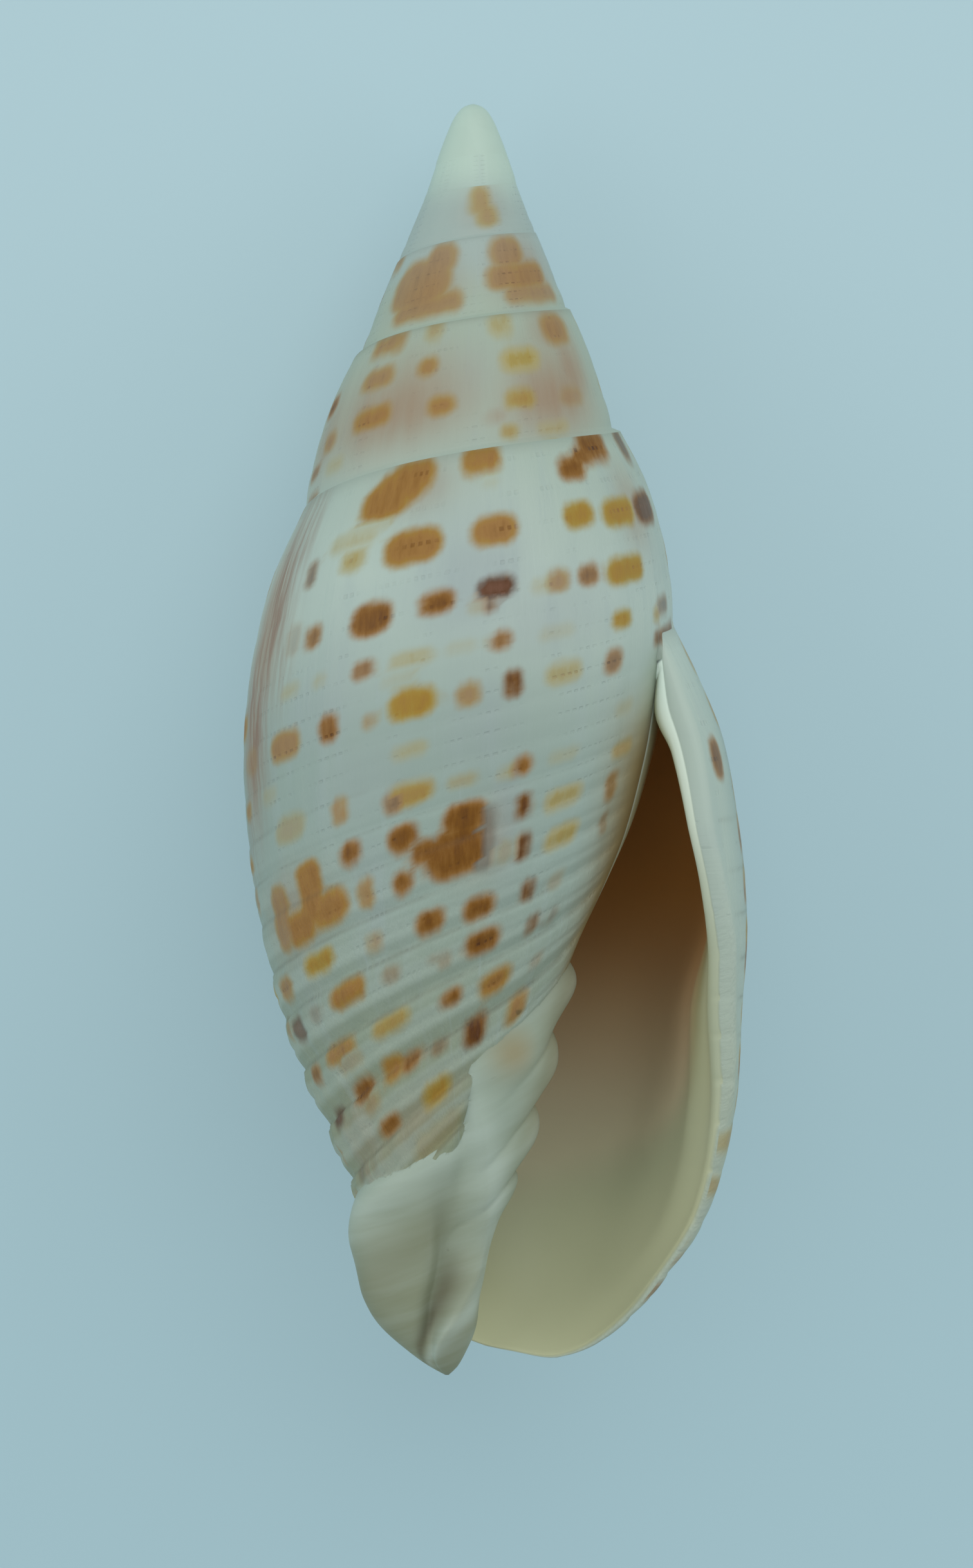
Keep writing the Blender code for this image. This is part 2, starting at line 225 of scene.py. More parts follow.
    def lean(self, h: np.ndarray) -> np.ndarray:
        """The wall's axis leans with the pillar near the foot."""
        return self.lean_aside * ease(*self.leaning, h)

    def place(self, turn: np.ndarray, r: np.ndarray, h: np.ndarray) -> np.ndarray:
        """From turn, r and h to x to the right, y to the tip of the spire and z to the front."""
        angle = 2 * np.pi * turn
        return np.stack([self.lean(h) + r * np.cos(angle), -h + 0 * r, r * np.sin(angle)], -1)


# Share of the wall at which each row lies, for the rows from -0.2 to 15.3.
ROW_PLACES: tuple[Pair, ...] = (
    (0, -0.2), (0.02, 0), (0.118, 1), (0.207, 2), (0.275, 3), (0.337, 4), (0.39, 5), (0.45, 6),
    (0.493, 7), (0.55, 8), (0.605, 9), (0.665, 10), (0.728, 11), (0.80, 12), (0.86, 13),
    (0.92, 14), (1, 15.3))


@dataclass(frozen=True)
class Sculpture:
    """The fine relief of the outer face: spiral cords, growth undulation and the lip's notches."""

    row_at: Curve = through(ROW_PLACES)
    share_at: Curve = through([(row, share) for share, row in ROW_PLACES])
    cord_height: Curve = through([(0, 0.03), (0.35, 0.05), (0.5, 0.12), (0.62, 0.25), (0.72, 0.4),
                                  (0.86, 0.44), (0.93, 0.25), (0.97, 0)])
    level: float = 0.6             # height on a cord that lies on the smooth wall
    thread: float = 0.22           # thread in each groove, and line cut along the middle of each cord
    thread_widths: Pair = (0.09, 0.07)
    ripple: float = 0.12           # how much each cord's height ripples
    ripples: float = 31.0          # to a turn
    ripple_shift: float = 2.4      # from row to row
    rippling: Span = (0.12, 0.25)
    lip_relief: float = 0.1        # what is left of the cords by the lip
    smooth_lip: Span = (1.02, 0.86)
    # The growth undulation: the height of each wave, and how many there are to a turn.
    waves: tuple[Pair, ...] = ((0.022, 17.3), (0.01, 41.7), (0.005, 93.1))
    notch: float = 0.07            # depth of the lip's notches
    notched: Span = (0.3, 0.45)

    def cord(self, row: np.ndarray) -> np.ndarray:
        """One cord's section: with v from 0 to 1 between grooves, v^0.4 (1 - v)^0.8 scaled to 1."""
        v = np.mod(row + 0.5, 1.0)
        return v ** 0.4 * (1 - v) ** 0.8 / 0.466

    def relief(self, turn: np.ndarray, share: np.ndarray, fade: np.ndarray) -> np.ndarray:
        """Height of the cords and of the growth undulation over the smooth wall.

        Formula: the cord's section, with a thread in the groove and a line cut along its middle,
        times a height that grows down the wall, plus three sines of the turn whose lengths have
        no common measure; all of it grows with the shell.

        Args:
            turn: whorls along the spiral.
            share: how far down the wall.
            fade: 0 where glaze covers the relief, 1 elsewhere.

        Returns:
            Millimetres outward.
        """
        row = self.row_at(share)
        phase = 2 * np.pi * turn * self.ripples + self.ripple_shift * np.round(row)
        uneven = 1 + self.ripple * np.sin(phase) * ease(*self.rippling, turn)
        raised, cut = self.thread_widths
        thread = self.thread * (bell(np.mod(row, 1.0), 0.5, raised)
                                - bell(np.mod(row + 0.5, 1.0), 0.5, cut))
        cords = self.cord_height(share) * (self.cord(row) * uneven + thread - self.level)
        cords = cords * (self.lip_relief + (1 - self.lip_relief) * ease(*self.smooth_lip, turn))
        wander = turn + 0.004 * np.sin(9 * share)
        growth = sum(size * np.sin(2 * np.pi * wander * count) for size, count in self.waves)
        growth = growth * ease(0.95, 0.7, share) * ease(0, 0.08, share)
        return (cords + growth) * fade * np.clip(np.exp(0.4 * turn), 0.1, 1.2)


# ---------------------------------------------------------------- a mesh in the making

class Zone(Enum):
    """The faces of the shell, told apart by their finish."""

    OUTSIDE = 0.0
    INSIDE = 1.0
    FLOOR = 2.0
    PILLAR = 3.0


# What each face corner carries while the mesh is made.
CORNER_VALUES = ("turn", "row", "zone")


def shown(name: str, data: bpy.types.ID) -> bpy.types.Object:
    """Puts data in the scene.

    Args:
        name: the new object's name.
        data: a mesh, a lamp or a camera.

    Returns:
        The object that shows it.
    """
    thing = bpy.data.objects.new(name, data)
    bpy.context.scene.collection.objects.link(thing)
    return thing


def write_corners(mesh: bpy.types.Mesh, name: str, values: np.ndarray) -> None:
    """Stores one number, or one vector, at each face corner.

    Args:
        mesh: the mesh.
        name: what the values are called.
        values: one line, or lines of three.
    """
    kind, key = ("FLOAT_VECTOR", "vector") if values.ndim > 1 else ("FLOAT", "value")
    layer = mesh.attributes.new(name, kind, "CORNER")
    layer.data.foreach_set(key, values.astype(np.float32).ravel())


def read_corners(mesh: bpy.types.Mesh, name: str) -> np.ndarray:
    """The numbers stored at the face corners.

    Args:
        mesh: the mesh.
        name: what the values are called.

    Returns:
        One number for each corner.
    """
    values = np.empty(len(mesh.loops), np.float32)
    mesh.attributes[name].data.foreach_get("value", values)
    return values.astype(float)


@dataclass
class Draft:
    """Points and triangles gathered as whole arrays, with turn, row and zone at each corner."""

    points: list[np.ndarray] = field(default_factory=list)
    triangles: list[np.ndarray] = field(default_factory=list)
    corners: list[np.ndarray] = field(default_factory=list)
    count: int = 0

    def add(self, block: np.ndarray) -> np.ndarray:
        """Adds a grid of points.

        Args:
            block: rows by columns by 3.

        Returns:
            The grid of their numbers.
        """
        self.points.append(block.reshape(-1, 3))
        ids = self.count + np.arange(block.shape[0] * block.shape[1]).reshape(block.shape[:2])
        self.count += ids.size
        return ids

    def sheet(self, ids: np.ndarray, turn: np.ndarray, row: np.ndarray, zone: Zone) -> None:
        """Covers a grid of points with triangles; those with no area are dropped.

        Args:
            ids: point numbers.
            turn: the turn at each, same shape.
            row: the row at each, same shape.
            zone: what the faces belong to.
        """
        data = np.stack(np.broadcast_arrays(ids, turn, row), -1).astype(float)
        a, b, c, d = data[:-1, :-1], data[1:, :-1], data[1:, 1:], data[:-1, 1:]
        both = np.concatenate([np.stack([a, b, c], -2), np.stack([a, c, d], -2)], 0)
        self.keep(both.reshape(-1, 3, 3), zone)

    def zip(self, first: np.ndarray, second: np.ndarray, zone: Zone) -> None:
        """Joins two lines of points with a strip; the longer line's points share partners.

        Args:
            first: point numbers of one line.
            second: point numbers of the other.
            zone: what the strip belongs to.
        """
        steps = max(len(first), len(second))
        pairs = [line[np.round(np.linspace(0, len(line) - 1, steps)).astype(int)]
                 for line in (first, second)]
        ids = np.stack(pairs, 0)
        self.sheet(ids, np.zeros(ids.shape), np.zeros(ids.shape), zone)

    def keep(self, data: np.ndarray, zone: Zone) -> None:
        """Stores the triangles whose three corners are all different.

        Args:
            data: number, turn and row at each corner of each triangle.
            zone: what they belong to.
        """
        ids = data[..., 0].astype(int)
        solid = ((ids[:, 0] != ids[:, 1]) & (ids[:, 1] != ids[:, 2]) & (ids[:, 2] != ids[:, 0]))
        self.triangles.append(ids[solid])
        zones = np.full(data[solid].shape[:2] + (1,), zone.value)
        self.corners.append(np.concatenate([data[solid][..., 1:], zones], -1))

    def made(self, name: str) -> bpy.types.Object:
        """The draft as a closed object with its faces turned outward.

        Args:
            name: the object's name.

        Returns:
            The object, with corner values named turn, row and zone.
        """
        ids, values = np.concatenate(self.triangles), np.concatenate(self.corners)
        used, compact = np.unique(ids.ravel(), return_inverse=True)
        mesh = bpy.data.meshes.new(name)
        places = np.concatenate(self.points)[used]
        mesh.vertices.add(len(places))
        mesh.vertices.foreach_set("co", places.astype(np.float32).ravel())
        mesh.loops.add(ids.size)
        mesh.loops.foreach_set("vertex_index", compact.ravel().astype(np.int32))
        mesh.polygons.add(len(ids))
        mesh.polygons.foreach_set("loop_start", np.arange(0, ids.size, 3, dtype=np.int32))
        for index, label in enumerate(CORNER_VALUES):
            write_corners(mesh, label, values[..., index].ravel())
        mesh.update(calc_edges=True)
        mesh.validate()
        work = bmesh.new()
        work.from_mesh(mesh)
        bmesh.ops.recalc_face_normals(work, faces=work.faces)
        open_edges = sum(not edge.is_manifold for edge in work.edges)
        if open_edges:
            LOG.warning("%s has %d open edges", name, open_edges)
        work.to_mesh(mesh)
        work.free()
        return shown(name, mesh)


# ---------------------------------------------------------------- the wall

@dataclass
class Wall:
    """The spiral wall as columns of points, crowded by the lip, with its hollow and its tip."""

    coil: Coil
    sculpture: Sculpture
    columns: int = 176             # to a whorl
    crowding: float = 5.0          # how much closer the columns stand by the lip
    crowd_width: float = 0.08
    spire_rows: int = 36           # from seam to seam
    body_rows: int = 128           # from the next seam to the foot
    cap_rows: int = 14             # from the first seam to the tip
    lip_round: float = 0.55        # width over which the lip is rounded off
    lip_radius: float = 9.5        # at the top of the lip
    seam_drop: float = 2.2         # the hollow starts this far below the seam
    row_rise: float = 0.9          # past the lip the lower rows start this much nearer the tip
    rising: Span = (0.0, 0.1)      # in turns past the lip
    wedge: float = 0.6             # softness of the hollow's narrow end
    corner: float = 3.4            # distance from the seam over which the hollow opens
    bevel: float = 1.1             # extra thickness a little behind the lip
    bevel_rise: Span = (0.0, 3.4)
    bevel_fall: Span = (14.0, 6.0)
    bevel_top: Span = (0.3, 0.5)
    bevel_foot: Span = (0.95, 0.6)
    smooth_from: Span = (0.24, 0.32)    # glaze by the aperture: shares, and turns past the lip
    smooth_turns: Span = (0.06, 0.0)
    bend_from: float = 0.55        # past this turn the columns lean to follow the lip
    hub_height: float = 42.0       # where the wall is closed off inside the pillar

    def __post_init__(self) -> None:
        """Places the columns: equal from whorl to whorl, and closer together near the lip."""
        phase = (np.arange(self.columns) + 0.5) / self.columns
        away = np.minimum(phase, 1 - phase)
        gap = 1 / (1 + self.crowding * bell(away, 0, self.crowd_width))
        into = np.concatenate([[0], np.cumsum(gap) / gap.sum()])
        back = np.arange(round(self.coil.whorls * self.columns), -1, -1)
        self.turn = self.coil.lip_turn - (back // self.columns + into[back % self.columns])
        self.last = len(self.turn) - 1
        self.split = self.last - self.columns
        self.deep = int(np.searchsorted(self.turn, self.coil.lip_turn - self.coil.hollow))

    def rounding(self, distance: np.ndarray) -> np.ndarray:
        """1 away from the lip, falling to 0 on its edge along a quarter circle."""
        near = np.clip(distance / self.lip_round, 0, 1)
        return np.sqrt(np.clip(1 - (1 - near) ** 2, 0, 1))

    def edge_seam(self, turn: np.ndarray, side: float) -> np.ndarray:
        """Where a face starts by the seam.

        Args:
            turn: whorls along the spiral.
            side: -1 for the outer face, 1 for the inner.

        Returns:
            Heights from the tip.
        """
        slack = self.seam_drop * np.exp(self.coil.growth * (turn - 1)) / 2
        free = self.rounding((self.coil.lip_turn - turn) * 2 * np.pi * self.lip_radius)
        return self.coil.seam(turn) + slack * (1 + side * free)

    def rows(self, turn: np.ndarray, top: np.ndarray) -> np.ndarray:
        """Heights down each column, to the next seam and then on to the foot.

        Args:
            turn: the columns' turns, one to a line.
            top: where each column starts.

        Returns:
            One line of heights for each column.
        """
        coil = self.coil
        passed = np.maximum(turn + 1 - coil.lip_turn, 0)
        nearest = np.minimum(turn + 1, coil.lip_turn)
        middle = self.edge_seam(nearest, -1) + coil.seam(turn + 1) - coil.seam(nearest)
        middle = middle - self.row_rise * ease(*self.rising, passed)
        upper = top + (middle - top) * np.linspace(0, 1, self.spire_rows + 1)
        lower = middle + (coil.foot(turn) - middle) * np.linspace(0, 1, self.body_rows + 1)[1:]
        return np.concatenate([upper, lower], 1)

    def lip(self, share: np.ndarray) -> np.ndarray:
        """The lip's edge, with a small notch at each groove between cords.

        Args:
            share: how far down the wall.

        Returns:
            The turn of the edge there.
        """
        dent = (1 - self.sculpture.cord(self.sculpture.row_at(share))) ** 3
        notch = self.sculpture.notch / self.coil.way_round * ease(*self.sculpture.notched, share)
        return self.coil.lip_line(share) - notch * dent

    def bent(self, turn: np.ndarray, h: np.ndarray) -> tuple[np.ndarray, np.ndarray]:
        """Where the columns lie once they lean to follow the lip.

        Args:
            turn: the columns' turns.
            h: heights from the tip.

        Returns:
            The turn and the share of each point.
        """
        u = self.coil.share(turn, h)
        along = np.clip((turn - self.bend_from) / (self.coil.lip_turn - self.bend_from), 0, None)
        leaned = self.bend_from + along * (self.lip(u) - self.bend_from)
        return np.where(turn > self.bend_from, leaned, turn), u

    def extra(self, behind: np.ndarray, share: np.ndarray) -> np.ndarray:
        """The extra thickness behind the lip.

        Args:
            behind: distance behind the lip.
            share: how far down the wall.

        Returns:
            Millimetres inward.
        """
        return (self.bevel * ease(*self.bevel_rise, behind) * ease(*self.bevel_fall, behind)
                * ease(*self.bevel_top, share) * ease(*self.bevel_foot, share))

    def face(self, columns: slice, side: float) -> tuple[np.ndarray, np.ndarray, np.ndarray]:
        """One face of the wall over a range of columns.

        Formula: the outer radius with its relief, or that less the thickness but never inside
        the whorl before, where a hyperbola rounds the narrow end; both faces close on their
        middle along a quarter circle as they reach the lip.

        Args:
            columns: which columns.
            side: -1 for the outer face, 1 for the inner.

        Returns:
            The points, and the turn and the row of each.
        """
        coil = self.coil
        turn = self.turn[columns][:, None]
        h = self.rows(turn, self.edge_seam(turn, side))
        bent, u = self.bent(turn, h)
        h = (h + (coil.foot(bent) - coil.foot(turn)) * u
             + (coil.seam(bent) - coil.seam(turn)) * (1 - u) * ease(0, 0.1, u))
        under = ease(*self.smooth_from, u) * ease(*self.smooth_turns, bent - (coil.lip_turn - 1))
        outer = coil.radius(bent, h) + self.sculpture.relief(bent, u, 1 - under)
        floor = coil.radius(bent - 1, np.minimum(h, coil.foot(bent - 1)))
        behind = (self.lip(u) - bent) * 2 * np.pi * outer
        wall = coil.thickness(bent, h) + self.extra(behind, u)
        room = coil.radius(bent, h) - wall - floor
        room = (room + np.sqrt(room ** 2 + self.wedge ** 2)) / 2
        inner = floor + room * ease(0, self.corner, h - h[:, :1])
        middle = (outer + inner) / 2
        edge = np.where(turn > coil.lip_turn - 0.5, self.rounding(behind), 1)
        chosen = outer if side < 0 else inner
        return coil.place(bent, middle + (chosen - middle) * edge, h), bent, self.sculpture.row_at(u)

    def build(self) -> bpy.types.Object:
        """The closed wall: spire, last whorl outside and in, the hollow's floor, and the tip.

        Returns:
            The wall, in millimetres in the coiling frame.
        """
        coil, draft = self.coil, Draft()
        places, turn, row = self.face(slice(None), -1)
        outer = draft.add(places)
        inner_places, inner_turn, inner_row = self.face(slice(self.deep, None), 1)
        inner = draft.add(inner_places)
        floor_turn = self.turn[self.deep - self.columns:self.split + 1][:, None]
        top = self.edge_seam(floor_turn + 1, 1)
        floor_h = top + (coil.foot(floor_turn) - top) * np.linspace(0, 1, self.body_rows + 1)
        floor = draft.add(coil.place(floor_turn, coil.radius(floor_turn, floor_h), floor_h))
        floor_row = self.sculpture.row_at(coil.share(floor_turn, floor_h))

        # Shared points: the next seam on this whorl, the lip, the hollow's top, the floor's end.
        rows = self.spire_rows
        outer[:self.split + 1, rows] = outer[self.columns:self.last + 1, 0]
        inner[-1] = outer[-1]
        floor[-1] = outer[self.split, rows:]
        floor[:, 0] = inner[:, 0]

        upper = (slice(0, self.split + 1), slice(0, rows + 1))
        draft.sheet(outer[upper], turn[upper], row[upper], Zone.OUTSIDE)
        draft.sheet(outer[self.split:], turn[self.split:], row[self.split:], Zone.OUTSIDE)
        draft.sheet(inner, inner_turn, inner_row, Zone.INSIDE)
        draft.sheet(floor, floor_turn, floor_row, Zone.FLOOR)
        draft.zip(outer[self.deep:, -1], inner[:, -1], Zone.INSIDE)
        draft.zip(inner[0], floor[0], Zone.INSIDE)
        ring = np.concatenate([outer[self.split:self.deep + 1, -1], inner[:1, -1], floor[:, -1]])
        hub = draft.add(np.array([[[coil.lean(self.hub_height), -self.hub_height, 0.0]]]))
        loop = np.concatenate([ring, ring[:1]])
        draft.zip(loop, np.repeat(hub[0], len(loop)), Zone.INSIDE)
        self.close_tip(draft, outer)
        return draft.made("wall")

    def close_tip(self, draft: Draft, outer: np.ndarray) -> None:
        """Closes the spire over a loop that runs once round and back up the first column.

        Formula: rings between the loop and the tip, whose heights and angles go from the loop's
        own to level and evenly spaced ones, on the worn tip's profile.

        Args:
            draft: the wall so far.
            outer: point numbers of its outer face.
        """
        loop = np.concatenate([outer[:self.columns, 0], outer[0, self.spire_rows:0:-1]])
        rim = np.concatenate(draft.points)[loop]
        height, angle = -rim[:, 1], np.unwrap(np.arctan2(rim[:, 2], rim[:, 0]))
        even = angle[0] + 2 * np.pi * np.arange(len(loop)) / len(loop)
        share = np.linspace(1, 0, self.cap_rows + 2)[1:-1, None]
        levels = share ** 1.5 * (share * height + (1 - share) * height.mean())
        turns = (share * angle + (1 - share) * even) / (2 * np.pi)
        rings = draft.add(self.coil.place(turns, self.coil.worn_tip(levels), levels))
        tip = draft.add(np.zeros((1, 1, 3)))
        grid = np.vstack([loop[None], rings, np.repeat(tip, len(loop), 1)])
        grid = np.hstack([grid, grid[:, :1]])
        row = np.full(grid.shape, 2.0)
        draft.sheet(grid, np.full(grid.shape, self.turn[0]), row, Zone.OUTSIDE)


# ---------------------------------------------------------------- the pillar

@dataclass
class Pillar:
    """The pillar: a rod with pleats on its right, a glazed band in front and a lobe on its left."""

    rows: int = 180
    sides: int = 150
    top: float = 24.0
    tip: float = 59.9
    pleat_height: float = 1.1
    pleat_climb: float = 0.9       # to a radian
    late_climb: float = 5.5        # more, on the way round the band
    climbing: Span = (18.0, 105.0)
    band_sides: tuple[Span, Span] = ((-15.0, 45.0), (8.0, -8.0))
    swell_height: float = 0.45     # rounded swelling left of the band
    swell_width: float = 1.5
    swell_sides: tuple[Span, Span] = ((-122.0, -92.0), (30.0, -30.0))
    lobe_height: float = 0.8       # lobe at the far left
    lobe_width: float = 36.0
    slit_depth: float = 0.55
    slit_width: float = 13.0
    slit_aside: float = 20.0       # degrees past the band's edge
    waist_depth: float = 0.65      # the rod is thinner on its right
    waist: Pair = (44.8, 4.2)      # where, and over what width
    left: float = 175.0            # where the far left is, in degrees
    middle_x: Curve = through([(24, 0), (41, 0), (44, -0.2), (46.8, -0.6), (48.3, -1.0),
                               (49.8, -1.4), (51.4, -1.9), (54.4, -2.3), (55.9, -2.3),
                               (57.4, -2.0), (58.9, -1.6), (60.15, -1.1)])
    middle_z: Curve = through([(24, 0), (50, 0.1), (55, 0.2), (60.15, 0.0)])
    radius: Curve = through([(24, 0.4), (30, 3.1), (36, 3.6), (39, 3.9), (41, 4.15), (44, 3.75),
                             (46.8, 3.6), (49.8, 3.4), (51.4, 3.2), (52.9, 2.8), (54.4, 2.45),
                             (55.9, 2.15), (57.4, 1.75), (58.7, 1.15), (59.5, 0.6), (59.9, 0.08)])
    band_height: Curve = through([(36, 0), (40, 0.9), (42, 1.55), (45.3, 1.75), (47, 1.35),
                                  (49, 1.05), (52, 1.15), (55, 1.15), (57.5, 0.9), (59.9, 0)])
    band_edge: Curve = through([(36, 45), (41, 52), (42.4, 64), (45.3, 93), (46.5, 91), (48.9, 76),
                                (51.6, 60), (54.3, 46), (55.5, 50), (57, 66), (58.9, 100),
                                (59.9, 120)])
    pleat_count: Curve = through([(36.3, -1), (39.8, 0), (43.3, 1), (46.8, 2), (49.9, 3),
                                  (52.9, 4), (55.7, 5)])

    def leftward(self, degrees: np.ndarray) -> np.ndarray:
        """Degrees past the far left, below 0 in front."""
        return np.mod(degrees, 360) - self.left

    def crest(self, degrees: np.ndarray) -> np.ndarray:
        """Height at which the swelling's crest lies, which climbs with the angle."""
        return 49.9 + 2.8 * (self.leftward(degrees) + 80) / 85

    def pleats(self, h: np.ndarray, degrees: np.ndarray) -> np.ndarray:
        """Height of the pleats over the rod.

        Formula: the count of pleats passed at h, after each has climbed with the angle, gives a
        row of lobes |sin|^0.6 with sharp notches between; they stand out to the right, run on
        faintly to the front, and the last are weaker.

        Args:
            h: heights from the tip.
            degrees: angles about the rod.

        Returns:
            Millimetres outward.
        """
        late = self.late_climb * ease(*self.climbing, degrees)
        climb = self.pleat_climb * np.radians(degrees) + late
        count = self.pleat_count(h - climb)
        lobe = np.abs(np.sin(np.pi * count)) ** 0.6 - 0.5
        keep = ease(-0.05, 0.2, count) * ease(3.8, 2.9, count)
        aside = 0.8 * ease(42, 12, np.abs(degrees)) + 0.2 * ease(72, 45, np.abs(degrees))
        return self.pleat_height * lobe * keep * aside

    def surface(self, h: np.ndarray, degrees: np.ndarray) -> np.ndarray:
        """Distance of the surface from the middle line.

        Formula: the rod's radius; a raised band from the right round to the band's edge; left
        of it a rounded swelling that climbs with the angle, and a lobe at the far left; less a
        narrow bell for the slit and a wide one for the waist; and the pleats.

        Args:
            h: heights from the tip, one to a line.
            degrees: angles about the rod.

        Returns:
            Millimetres.
        """
        edge, leftward = self.band_edge(h), self.leftward(degrees)
        right, left = self.band_sides
        near, far = self.swell_sides
        side = ease(*near, leftward) * ease(*far, leftward)
        band = self.band_height(h) * ease(*right, degrees) * ease(*left, degrees - edge)
        r = self.radius(h) + band
        r = r + self.swell_height * bell(h, self.crest(degrees), self.swell_width) * side
        lobe = ease(50.5, 54, h) * ease(60, 57, h) * bell(leftward, 0, self.lobe_width)
        slit = ease(49.5, 54, h) * ease(59.2, 57, h)
        slit = slit * bell(degrees, edge + self.slit_aside, self.slit_width)
        waist = bell(h, *self.waist) * ease(70, 30, np.abs(degrees))
        r = r + self.lobe_height * lobe - self.slit_depth * slit - self.waist_depth * waist
        return r + self.pleats(h, degrees)

    def build(self) -> bpy.types.Object:
        """The closed rod: rings of the surface's radius about a middle line that bends.

        Returns:
            The rod, in millimetres in the coiling frame.
        """
        draft = Draft()
        h = self.top + (self.tip - self.top) * np.linspace(0, 1, self.rows + 1)[:, None]
        degrees = np.linspace(-180, 180, self.sides + 1)[None, :-1]
        a, r = np.radians(degrees), self.surface(h, degrees)
        grid = draft.add(np.stack([self.middle_x(h) + r * np.cos(a), -h + 0 * r,
                                   self.middle_z(h) + r * np.sin(a)], -1))
        ends = draft.add(np.array([[[self.middle_x(e), -e, self.middle_z(e)]]
                                   for e in (self.top, self.tip)]))
        caps = [np.repeat(end[None], self.sides, 1) for end in ends]
        grid = np.vstack([caps[0], grid, caps[1]])
        grid = np.hstack([grid, grid[:, :1]])
        draft.sheet(grid, np.zeros(grid.shape), np.zeros(grid.shape), Zone.PILLAR)
        return draft.made("pillar")

    def slit(self, h: np.ndarray, degrees: np.ndarray) -> np.ndarray:
        """How deep in the dirty part of the slit a point lies, from 0 to 1."""
        return bell(degrees, self.band_edge(h) + 18, 12) * ease(53.5, 56, h) * ease(60, 58.5, h)

    def folds(self, h: np.ndarray, x: np.ndarray, z: np.ndarray) -> np.ndarray:
        """Height of the pleats at points, as a part of the greatest.

        Args:
            h: the points' heights from the tip.
            x: their places to the right.
            z: their places to the front.

        Returns:
            Between about -0.5 in a notch and 0.5 on a crest.
        """
        own = np.degrees(np.arctan2(z - self.middle_z(h), x - self.middle_x(h)))
        return self.pleats(h, own) / self.pleat_height


# ---------------------------------------------------------------- the spots

class Tone(Enum):
    """Colours of the spots, from the palest to the darkest."""

    YELLOW = 0.1
    AMBER = 0.3
    TAWNY = 0.5
    BROWN = 0.7
    UMBER = 0.85
    PLUM = 1.0


